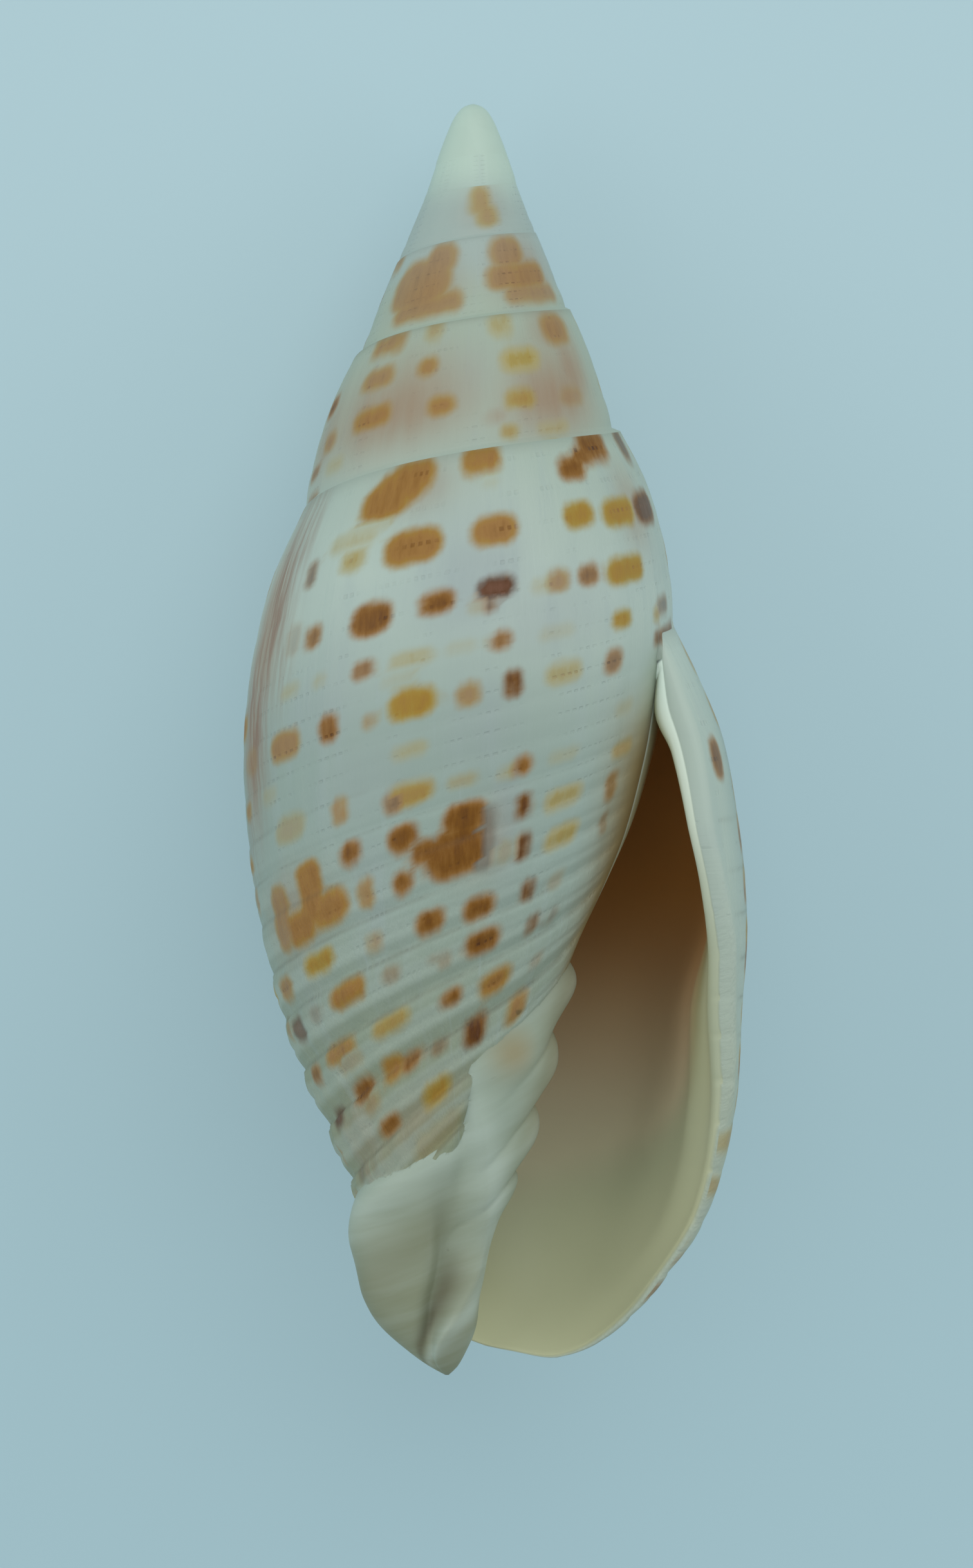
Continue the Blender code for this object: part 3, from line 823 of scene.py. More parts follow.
# Spots on the side with the aperture: whorl, row, angle, width in degrees, height in rows, strength.
SEEN_SPOTS: dict[Tone, list[tuple[float, ...]]] = {
    Tone.YELLOW: [
        (0, 1.0, 125.5, 8, 0.32, 0.8), (0, 2.9, 106, 11, 0.3, 0.6), (0, 3.25, 109, 9, 0.25, 0.25),
        (0, 2.9, 93, 8, 0.2, 0.3), (0, 3.0, 67, 10, 0.25, 0.3), (0, 2.8, 143.5, 7, 0.25, 0.4),
        (0, 2.82, 132.5, 4, 0.25, 0.4), (0, 3.95, 65, 10.5, 0.52, 0.7),
        (0, 4.93, 106.5, 9, 0.3, 0.55), (0, 5.35, 43, 7, 0.3, 0.3), (0, 6.0, 81, 4, 0.3, 0.5),
        (0, 6.0, 64, 9, 0.3, 0.35), (0, 7.28, 63, 12, 0.5, 0.8), (0, 8.25, 62, 11.5, 0.55, 0.85),
        (0, 12.85, 72, 8, 0.5, 0.4), (0, 0.72, 127, 16, 0.22, 0.5), (0, 0.6, 122, 14, 0.12, 0.4),
        (0, 2.0, 70.5, 6, 0.25, 0.4), (0, 0.3, 84, 5, 0.15, 0.25), (0, 4.8, 154, 8, 0.35, 0.3),
        (-1, 0.05, 76, 12, 0.65, 0.65), (-1, 1.05, 68, 19, 0.62, 0.9), (-1, 3.45, 57, 14, 0.5, 0.5),
        (-1, 4.0, 60, 6, 0.4, 0.35), (-1, 3.05, 149, 10, 0.5, 0.4)],
    Tone.AMBER: [
        (0, 0.97, 56.5, 11, 0.4, 1), (0, 1.03, 39.5, 16, 0.45, 1), (0, 2.02, 41, 17, 0.52, 1),
        (0, 3.05, 45, 7.5, 0.4, 1), (0, 3.2, 27, 4, 0.35, 0.7), (0, 3.84, 105.5, 12.5, 0.66, 1),
        (0, 5.88, 106.5, 12, 0.5, 0.9), (0, 5.9, 92.5, 7.5, 0.25, 0.5),
        (0, 6.55, 41.5, 9, 0.5, 0.7), (0, 2.15, 88.5, 5, 0.25, 0.4), (0, 5.65, 145.5, 12, 0.5, 0.5),
        (0, 8.9, 142, 13, 0.42, 1), (0, 10.73, 120.3, 13.5, 0.32, 0.85),
        (0, 12.35, 107.5, 13, 0.46, 1), (0, 13.2, 110, 28, 0.5, 0.3), (0, 8.1, 80.5, 5, 0.5, 0.35),
        (-3, 0.8, 82, 22, 2.0, 0.7), (-3, 2.0, 76, 22, 2.0, 0.7), (-1, 2.2, 70.5, 13, 0.6, 0.85),
        (-1, 3.38, 75.7, 6.5, 0.5, 0.8), (-1, -0.1, 109, 8, 0.5, 0.6)],
    Tone.TAWNY: [
        (0, 1.0, 83.5, 13.5, 0.44, 1), (0, 1.02, 107, 17, 0.5, 1), (0, 0.28, 118, 17, 0.5, 1),
        (0, 0.14, 114, 17, 0.5, 1), (0, 0.02, 110, 15, 0.48, 1), (0, 1.97, 66, 7, 0.38, 0.8),
        (0, 3.95, 91, 6, 0.58, 0.8), (0, 3.85, 145.5, 12, 0.6, 0.85), (0, 9.75, 133.5, 14, 0.46, 1),
        (0, 10.68, 143.5, 15, 0.36, 0.9), (0, 10.95, 141, 12, 0.25, 0.4),
        (0, 10.96, 81.5, 11.5, 0.46, 1), (0, 11.78, 70.5, 8.5, 0.53, 0.9),
        (0, 7.35, 140.5, 9.5, 1.45, 1), (0, 7.9, 134, 13, 0.75, 1), (0, 8.0, 147, 14, 0.7, 1),
        (0, 7.6, 156, 10, 1.4, 0.8), (0, 11.45, 124, 9, 0.42, 1), (0, 7.93, 121.5, 4.6, 0.62, 0.85),
        (0, 5.72, 127, 4.2, 0.56, 0.85), (0, 3.97, 117.2, 3.6, 0.28, 0.7),
        (0, 9.0, 163.5, 10, 0.45, 0.85), (0, 9.05, 121, 5, 0.38, 0.6), (0, 11.75, 137, 8, 0.3, 0.5),
        (0, 9.35, 62, 5, 0.35, 0.35), (0, 3.8, 165, 8, 0.5, 0.4), (0, -0.05, 87, 13, 0.4, 1),
        (-1, 0.87, 109.5, 8, 0.46, 0.85), (-1, 0.85, 134, 17, 0.5, 0.75),
        (-1, 1.9, 132.5, 18, 0.6, 0.9), (-1, 2.03, 102.5, 10.5, 0.6, 0.9),
        (-1, 2.3, 44, 14, 0.6, 0.45), (-1, 0.3, 43, 20, 0.8, 0.75), (-1, 2.1, 157, 9, 0.6, 0.7),
        (-1, 0.0, 134, 20, 0.5, 0.8), (-2, 0.5, 113, 24, 1.3, 0.75), (-2, 1.4, 126, 44, 2.2, 0.75),
        (-2, 2.6, 118, 44, 1.3, 0.75), (-2, 0.6, 64, 28, 1.4, 0.75), (-2, 1.7, 57, 48, 1.3, 0.8),
        (-2, 2.7, 48, 44, 1.2, 0.7)],
    Tone.BROWN: [
        (0, -0.05, 42, 15, 0.5, 1), (0, 0.1, 49, 9, 0.3, 1), (0, 0.25, 55, 11, 0.36, 1),
        (0, 1.97, 56, 7, 0.4, 0.9), (0, 1.95, 99.5, 9.5, 0.4, 1), (0, 1.98, 117.5, 12, 0.56, 1),
        (0, 1.97, 136, 5.5, 0.4, 0.9), (0, 2.92, 82.3, 5.5, 0.38, 0.95),
        (0, 2.88, 119, 6, 0.34, 0.9), (0, 4.0, 48.5, 6.5, 0.62, 0.85),
        (0, 3.85, 129.3, 5.5, 0.6, 1), (0, 5.95, 76.2, 4.6, 0.5, 1), (0, 5.95, 111, 5.5, 0.6, 0.8),
        (0, 7.55, 44.5, 5, 0.7, 0.85), (0, 6.9, 125, 6.2, 0.64, 1), (0, 7.0, 109.3, 8.3, 0.74, 1),
        (0, 7.0, 92, 12, 0.95, 1), (0, 7.75, 94.5, 17.5, 1.1, 1), (0, 7.5, 103.5, 8, 0.55, 1),
        (0, 8.0, 110, 5.6, 0.52, 1), (0, 9.2, 88, 9.5, 0.5, 1), (0, 9.1, 103, 8.6, 0.5, 1),
        (0, 9.98, 86.5, 11.5, 0.5, 1), (0, 10.84, 97.8, 7.4, 0.3, 1), (0, 9.83, 117, 5, 0.3, 0.55),
        (0, 10.02, 99.3, 3.5, 0.28, 0.5), (0, 9.92, 102.5, 3, 0.15, 0.35),
        (0, 10.76, 162, 7, 0.32, 0.85), (0, 11.52, 116, 9, 0.26, 1), (0, 11.46, 140, 11, 0.34, 1),
        (0, 12.27, 132.5, 11, 0.3, 1), (0, 1.9, 144, 5, 0.5, 0.3), (0, 11.05, 64.5, 4, 0.25, 0.45),
        (0, 1.5, 380.5, 7, 0.6, 0.9), (0, 2.9, 367, 5, 0.6, 0.8), (0, 4.0, 367, 5, 0.6, 0.8),
        (0, 5.5, 366, 4, 0.7, 0.8), (0, 8.1, 366, 4, 0.7, 0.8)],
    Tone.UMBER: [
        (0, 1.0, 141, 4, 0.34, 0.7), (0, 3.92, 79.3, 4.5, 0.64, 1), (0, 7.12, 75.6, 3.8, 0.6, 1),
        (0, 8.12, 75, 4, 0.62, 1), (0, 8.5, 45, 2.5, 0.5, 0.7), (0, 9.25, 72.3, 4, 0.46, 1),
        (0, 10.12, 69, 4, 0.4, 0.85), (0, 10.2, 61, 3.5, 0.3, 0.4), (0, 2.18, 85, 3.2, 0.25, 0.8),
        (0, 11.58, 104, 6.5, 0.22, 0.65), (0, 11.68, 89, 9, 0.54, 1), (0, 9.83, 149, 5, 0.25, 0.4)],
    Tone.PLUM: [
        (0, 1.88, 83.5, 10, 0.34, 1), (0, 7.6, 86.5, 5, 1.5, 0.5), (0, 9.87, 162.5, 9, 0.44, 0.75),
        (0, 11.55, 160.5, 9, 0.27, 0.9), (0, 12.6, 158, 8, 0.3, 0.35)],
}


class Wash(Enum):
    """Faint broad tints under the spots."""

    PINK = 0
    LILAC = 1
    SMOKE = 2


# Faint tints, laid out as the spots are.
WASHES: dict[Wash, list[tuple[float, ...]]] = {
    Wash.PINK: [
        (-1, 1.9, 122, 64, 2.7, 0.7), (-1, 2.2, 54, 48, 3.0, 0.75), (-1, 2.7, 80, 13, 0.9, 0.5),
        (-1, 0.4, 46, 30, 1.4, 0.6), (-1, 1.9, 158, 30, 2.4, 0.5), (-1, 1.6, 40, 24, 2.8, 0.7),
        (-2, 1.9, 118, 44, 2.6, 0.45), (-2, 1.7, 52, 46, 3.0, 0.55), (-3, 1.2, 79, 40, 3.6, 0.3),
        (0, 0.2, 108, 24, 0.7, 0.4), (0, 7.6, 150, 26, 1.8, 0.4), (0, 7.6, 88, 16, 1.7, 0.3),
        (0, 12.6, 120, 46, 1.2, 0.3), (0, 1.6, 160, 18, 2.6, 0.6), (0, 3.6, 164, 16, 3.2, 0.5),
        (0, 1.0, 32, 14, 1.2, 0.4), (0, 12.0, 150, 30, 1.0, 0.3)],
    Wash.LILAC: [
        (0, 1.6, 88, 26, 2.0, 0.7), (0, 2.6, 70, 34, 1.6, 0.5), (0, 4.6, 88, 22, 2.4, 0.35),
        (0, 3.2, 130, 30, 2.2, 0.35), (0, 7.2, 80, 9, 3.4, 0.45), (0, 5.2, 120, 30, 2.0, 0.3),
        (0, 7.8, 120, 16, 3.0, 0.3), (-1, 1.2, 90, 20, 1.6, 0.3), (0, 9.4, 150, 24, 2.0, 0.25)],
    Wash.SMOKE: [
        (0, 1.2, 156, 14, 2.6, 0.8), (0, 3.0, 163, 14, 3.2, 0.85), (0, 0.4, 149, 8, 1.2, 0.5),
        (0, 5.4, 170, 8, 2.2, 0.4), (0, 2.2, 147, 5, 1.6, 0.4), (0, 12.8, 152, 20, 1.0, 0.3)],
}

# The sides that lie away from the aperture: whorl, first and last angle, last row.
HIDDEN_SIDES: tuple[tuple[int, float, float, int], ...] = (
    (0, 173.0, 366.0, 13), (-1, 166.0, 385.0, 4), (-2, 160.0, 385.0, 3))

# Blotches round the back, each of two spots that run together: whorl, row and angle.
HIDDEN_BLOTCHES: tuple[tuple[int, float, float], ...] = (
    (0, 0.4, 205.0), (0, 7.4, 238.0), (0, 0.3, 300.0), (0, 7.2, 318.0), (0, 12.1, 262.0),
    (-1, 0.4, 230.0), (-1, 1.0, 320.0), (-2, 1.2, 250.0))


@dataclass(frozen=True)
class Spot:
    """A rounded spot at a row and an angle of one whorl."""

    whorl: float
    row: float
    angle: float
    width: float
    height: float
    strength: float
    tone: float

    @property
    def turn(self) -> float:
        """The spot's middle in turns."""
        return self.whorl + self.angle / 360


@dataclass
class SpotPattern:
    """All spots: those seen beside the aperture, and more of the same kind round the back."""

    coil: Coil
    sculpture: Sculpture
    seed: int = 11
    corner: float = 0.88           # how round a spot's corners are
    far: float = -3.0              # nearness where there is no spot
    tone_odds: tuple[float, ...] = (0.22, 0.24, 0.24, 0.2, 0.08, 0.02)
    gap_odds: float = 0.3          # places in a file that stay empty
    file_width: Pair = (5.0, 13.0)    # least and greatest, in degrees
    file_gap: Pair = (2.5, 7.0)
    widening: float = 0.35         # files are this much wider on each earlier whorl
    row_shift: float = -0.1
    row_scatter: float = 0.12
    angle_scatter: float = 1.2
    widths: Pair = (0.6, 1.25)     # as a share of the file's width
    heights: Pair = (0.3, 0.62)
    strengths: Pair = (0.55, 1.0)
    blotch_width: float = 15.0
    blotch_widening: float = 0.5
    blotch_halves: Pair = (-0.3, 0.35)
    blotch_scatter: float = 3.0
    blotch_heights: Pair = (0.7, 1.1)
    blotch_tone: float = 0.6
    tint_fall: float = 0.9         # how fast a tint fades from its middle

    def seen(self) -> list[Spot]:
        """The spots that are listed one by one."""
        return [Spot(*values, tone.value) for tone, group in SEEN_SPOTS.items() for values in group]

    def hidden(self) -> list[Spot]:
        """Spots of the sides that lie away: files along the growth lines, and then blotches.

        Returns:
            The spots, the same each time.
        """
        chance = np.random.default_rng(self.seed)
        spots: list[Spot] = []
        for whorl, angle, last, rows in HIDDEN_SIDES:
            while angle < last:
                width = chance.uniform(*self.file_width) * (1 - self.widening * whorl)
                tone = chance.choice([kind.value for kind in Tone], p=self.tone_odds)
                spots += self.spot_file(chance, Spot(whorl, 0, angle, width, 0, 0, tone), rows)
                angle += width + chance.uniform(*self.file_gap)
        for whorl, row, angle in HIDDEN_BLOTCHES:
            width = self.blotch_width * (1 - self.blotch_widening * whorl)
            for half in self.blotch_halves:
                aside = chance.normal(0, self.blotch_scatter)
                height = chance.uniform(*self.blotch_heights)
                spots.append(Spot(whorl, row + half, angle + aside, width, height, 1, self.blotch_tone))
        return spots

    def spot_file(self, chance: np.random.Generator, first: Spot, rows: int) -> list[Spot]:
        """One file of spots down a whorl.

        Args:
            chance: where the random numbers come from.
            first: gives the file its whorl, angle, width and tone.
            rows: the last row.

        Returns:
            A spot for each row that is not left empty.
        """
        spots = []
        for row in range(rows + 1):
            if chance.random() < self.gap_odds:
                continue
            shift = chance.normal(0, self.row_scatter)
            aside = chance.normal(0, self.angle_scatter)
            width = first.width * chance.uniform(*self.widths)
            height = chance.uniform(*self.heights)
            strength = chance.uniform(*self.strengths)
            spots.append(Spot(first.whorl, row + shift + self.row_shift, first.angle + aside, width,
                              height, strength, first.tone))
        return spots

    def paint(self, turn: np.ndarray, row: np.ndarray) -> tuple[np.ndarray, np.ndarray, np.ndarray]:
        """How near each corner is to the spots.

        Formula: the signed distance to a rounded rectangle in millimetres, positive inside; the
        spot with the greatest value gives the tone and the strength.

        Args:
            turn: turns of the corners.
            row: rows of the corners.

        Returns:
            The nearness in millimetres, the tone and the strength.
        """
        near = np.full(turn.shape, self.far)
        tone, strength = np.zeros(turn.shape), np.zeros(turn.shape)
        for spot in self.seen() + self.hidden():
            window = np.abs(turn - spot.turn) < spot.width / 400 + 0.05
            window &= np.abs(row - spot.row) < spot.height + 1
            half = self.half_size(spot)
            across = np.abs(turn[window] - spot.turn) * 720 / spot.width * half[0]
            down = np.abs(row[window] - spot.row) * 2 / spot.height * half[1]
            curve = half.min() * self.corner
            over = np.maximum(np.stack([across, down]) - (half - curve)[:, None], 0)
            within = np.minimum(np.maximum(across - half[0] + curve, down - half[1] + curve), 0)
            value = curve - np.hypot(*over) - within
            better = value > near[window]
            chosen = np.flatnonzero(window)[better]
            near[chosen], tone[chosen], strength[chosen] = value[better], spot.tone, spot.strength
        return near, tone, strength

    def half_size(self, spot: Spot) -> np.ndarray:
        """Half a spot's size on the wall.

        Args:
            spot: the spot.

        Returns:
            Half its width and half its height, in millimetres.
        """
        at = np.array(spot.turn)
        span = self.coil.foot(at) - self.coil.seam(at)
        share = self.sculpture.share_at(np.array([spot.row, spot.row - 0.5, spot.row + 0.5]))
        radius = self.coil.radius(at, self.coil.seam(at) + share[0] * span)
        pitch = span * (share[2] - share[1])
        return np.array([math.radians(spot.width) * float(radius), spot.height * float(pitch)]) / 2

    def tints(self, turn: np.ndarray, row: np.ndarray) -> np.ndarray:
        """Strengths of the faint tints at each corner.

        Formula: for each tint the strength times exp(-0.9 d^2), with d the distance from its
        middle as a share of its half size; the greatest of its kind counts.

        Args:
            turn: turns of the corners.
            row: rows of the corners.

        Returns:
            One line of strengths for each kind of tint.
        """
        result = np.zeros((len(Wash), len(turn)))
        for wash, group in WASHES.items():
            for whorl, middle, angle, width, height, strength in group:
                across = (turn - whorl - angle / 360) * 720 / width
                distance = across ** 2 + ((row - middle) * 2 / height) ** 2
                value = strength * np.exp(-self.tint_fall * distance)
                result[wash.value] = np.maximum(result[wash.value], value)
        return result


# ---------------------------------------------------------------- shader expressions

Value = Union["Wire", float, int, Colour]


@dataclass(frozen=True)
class Wire:
    """A shader value that joins in Python expressions; each operator adds a Math node."""

    graph: "Graph"
    socket: bpy.types.NodeSocket

    def math(self, operation: str, *values: Value) -> "Wire":
        """One Math node on these values."""
        return self.graph.node("ShaderNodeMath", {"operation": operation}, dict(enumerate(values)))

    def __add__(self, other: Value) -> "Wire":
        """self + other."""
        return self.math("ADD", self, other)

    __radd__ = __add__

    def __sub__(self, other: Value) -> "Wire":
        """self - other."""
        return self.math("SUBTRACT", self, other)

    def __rsub__(self, other: Value) -> "Wire":
        """other - self."""
        return self.math("SUBTRACT", other, self)

    def __mul__(self, other: Value) -> "Wire":
        """self * other."""
        return self.math("MULTIPLY", self, other)

    __rmul__ = __mul__

    def greater(self, other: Value) -> "Wire":
        """The greater of the two."""
        return self.math("MAXIMUM", self, other)

    def fraction(self) -> "Wire":
        """The part after the point."""
        return self.math("FRACT", self)

    def squared(self) -> "Wire":
        """self times itself."""
        return self * self

    def steps(self, start: float, end: float) -> "Wire":
        """A smooth step.

        Args:
            start: where it begins; it may lie past the end.
            end: where it is complete.

        Returns:
            0 before start, 1 after end, smooth between.
        """
        rising = start < end
        values = (self, min(start, end), max(start, end), float(not rising), float(rising))
        settings = {"interpolation_type": "SMOOTHSTEP"}
        return self.graph.node("ShaderNodeMapRange", settings, dict(enumerate(values)))


class Graph:
    """The node tree of a material or of the world, built through one method."""

    def __init__(self, owner: Union[bpy.types.Material, bpy.types.World]) -> None:
        """Clears the owner's nodes.

        Args:
            owner: whose nodes these are.
        """
        owner.use_nodes = True
        self.tree = owner.node_tree
        self.tree.nodes.clear()

    def node(self, kind: str, settings: dict[str, object], inputs: dict[Union[int, str], Value],
             output: Union[int, str] = 0) -> Wire:
        """Adds any node.

        Args:
            kind: its type.
            settings: its own options, set first; "stops" fills a ramp.
            inputs: values or links by socket name or number.
            output: which socket to hand back.

        Returns:
            The chosen output.
        """
        made = self.tree.nodes.new(kind)
        for key, value in settings.items():
            if key == "stops":
                self.fill(made.color_ramp, value)
            else:
                setattr(made, key, value)
        for key, value in inputs.items():
            if isinstance(value, Wire):
                self.tree.links.new(value.socket, made.inputs[key])
            else:
                made.inputs[key].default_value = value
        return Wire(self, made.outputs[output])

    def fill(self, ramp: bpy.types.ColorRamp, stops: Sequence[tuple[float, Colour]]) -> None:
        """Sets a colour ramp's stops.

        Args:
            ramp: the ramp.
            stops: places and colours.
        """
        while len(ramp.elements) < len(stops):
            ramp.elements.new(1.0)
        for element, (place, colour) in zip(ramp.elements, stops):
            element.position, element.color = place, (*colour, 1)

    def place(self) -> Wire:
        """Where a point lies in its object."""
        return self.node("ShaderNodeTexCoord", {}, {}, "Object")

    def stored(self, name: str) -> tuple[Wire, Wire, Wire]:
        """The three numbers stored on the mesh under a name."""
        return self.parts(self.node("ShaderNodeAttribute", {"attribute_name": name}, {}, "Vector"))

    def parts(self, vector: Wire) -> tuple[Wire, Wire, Wire]:
        """The three numbers of a vector."""
        outputs = self.node("ShaderNodeSeparateXYZ", {}, {0: vector}).socket.node.outputs
        return Wire(self, outputs[0]), Wire(self, outputs[1]), Wire(self, outputs[2])

    def vector(self, x: Value, y: Value, z: Value = 0.0) -> Wire:
        """A vector of three numbers."""
        return self.node("ShaderNodeCombineXYZ", {}, {0: x, 1: y, 2: z})

    def noise(self, at: Wire, scale: float, detail: float = 2.0, rough: float = 0.5) -> Wire:
        """Soft noise about 0.5."""
        return self.node("ShaderNodeTexNoise", {"noise_dimensions": "3D"},
                         {"Vector": at, "Scale": scale, "Detail": detail, "Roughness": rough})

    def mix(self, share: Value, first: Value, second: Value) -> Wire:
        """One colour over another.

        Args:
            share: how much of the second shows.
            first: the colour below.
            second: the colour above.

        Returns:
            The mixed colour.
        """
        below, above = ((*c, 1) if isinstance(c, tuple) else c for c in (first, second))
        return self.node("ShaderNodeMix", {"data_type": "RGBA"}, {0: share, 6: below, 7: above}, 2)

    def ramp(self, value: Wire, stops: Sequence[tuple[float, Colour]]) -> Wire:
        """A colour ramp."""
        return self.node("ShaderNodeValToRGB", {"stops": stops}, {0: value})

    def seen(self) -> Wire:
        """Which rays show the background: from the camera, mirrored, or through glass.

        Returns:
            1 for those rays, 0 for the rest.
        """
        camera, glossy, through_glass = (
            self.node("ShaderNodeLightPath", {}, {}, kind)
            for kind in ("Is Camera Ray", "Is Glossy Ray", "Is Transmission Ray"))
        return camera.greater(glossy.greater(through_glass))

    def finish(self, shader: Wire, kind: str = "ShaderNodeOutputMaterial") -> None:
        """Links the shader to the tree's output, whose type this is."""
        output = self.tree.nodes.new(kind)
        self.tree.links.new(shader.socket, output.inputs[0])


def srgb(red: int, green: int, blue: int) -> Colour:
    """A colour given as screen values, made linear.

    Args:
        red: 0 to 255.
        green: 0 to 255.
        blue: 0 to 255.

    Returns:
        The three channels, each 0 to 1.
    """
    def linear(value: int) -> float:
        """One channel."""
        share = value / 255
        return share / 12.92 if share <= 0.04045 else ((share + 0.055) / 1.055) ** 2.4

    return linear(red), linear(green), linear(blue)


# ---------------------------------------------------------------- the finish

@dataclass(frozen=True)
class Layer:
    """A colour that comes in over a span of heights, up to a share."""

    colour: Colour
    span: Span
    share: float = 1.0


@dataclass(frozen=True)
class ShellFinish:
    """Cream glaze with cords, spots, growth lines, a brown throat and a little dirt, and with
    painted light and shade: on the body, by the lip, in the grooves and over the pillar.

    Heights run from 0 at the tip of the spire to 1 at the foot.
    """

    cream: Colour = srgb(166, 181, 171)
    cool: Colour = srgb(148, 163, 160)
    ground: tuple[Layer, ...] = (
        Layer(srgb(150, 164, 149), (0.42, 0.2)),         # the spire
        Layer(srgb(148, 163, 160), (0.17, 0.13), 0.7),
        Layer(srgb(168, 188, 175), (0.095, 0.05)),       # its tip
        # painted shade: the middle of the body, darker where it turns down away from the light
        Layer(srgb(138, 155, 146), (0.38, 0.54)),        # the middle
        # the foot: greener, and darker as painted shade
        Layer(srgb(130, 140, 117), (0.58, 0.82)))        # the foot
    # painted light: a paler strip on the outside close to the lip
    verge: Colour = srgb(176, 190, 178)
    pink: Colour = srgb(142, 122, 100)
    lilac: Colour = srgb(138, 148, 150)
    smoke: Colour = srgb(122, 88, 68)
    glaze: Colour = srgb(138, 152, 136)
    glaze_low: Layer = Layer(srgb(124, 130, 106), (0.78, 0.97))
    # painted shade in the pillar's hollows and between its pleats
    hollow: Colour = srgb(108, 110, 84)
    # warm tint: a painted reflection of the brown throat along the aperture's edge, and warmth on the
    # pillar
    warm: Colour = srgb(136, 114, 66)
    # near-white lip, its top partly painted light on the lip's shaded face
    lip: Colour = srgb(230, 246, 234)
    lip_down: tuple[Layer, ...] = (
        Layer(srgb(164, 172, 146), (0.42, 0.72)),
        Layer(srgb(180, 184, 150), (0.74, 0.88)))
    lip_inner: Colour = srgb(178, 181, 146)
    olive: Colour = srgb(134, 124, 80)
    throat: Colour = srgb(186, 132, 70)
    throat_down: tuple[Layer, ...] = (
        Layer(srgb(204, 192, 160), (0.6, 0.82)),
        Layer(srgb(192, 192, 160), (0.74, 0.9)))
    # dirt in the pits, the slit and the specks; the same colour paints shade into the grooves
    dirt_and_groove_shade: Colour = srgb(74, 66, 46)
    spots: tuple[tuple[float, Colour], ...] = (
        (0.0, srgb(154, 142, 92)), (0.1, srgb(150, 130, 58)), (0.3, srgb(146, 114, 42)),
        (0.5, srgb(140, 101, 48)), (0.7, srgb(112, 71, 14)), (0.85, srgb(80, 44, 8)),
        (1.0, srgb(96, 60, 38)))
    roughness: float = 0.4
    ior: float = 1.5
    specular: float = 0.22
    bump: float = 0.4
    bump_depth: float = 0.0001
    cloudiness: float = 0.45
    streakiness: float = 0.32
    pit_dirt: float = 0.075
    # painted shade in the grooves between the cords, with some dirt
    groove_shade_and_dirt: float = 0.28

    def material(self) -> bpy.types.Material:
        """Builds the material.

        Returns:
            The shell's only material.
        """
        material = bpy.data.materials.new("shell_glaze")
        ShellPaint(self, Graph(material)).build()
        return material


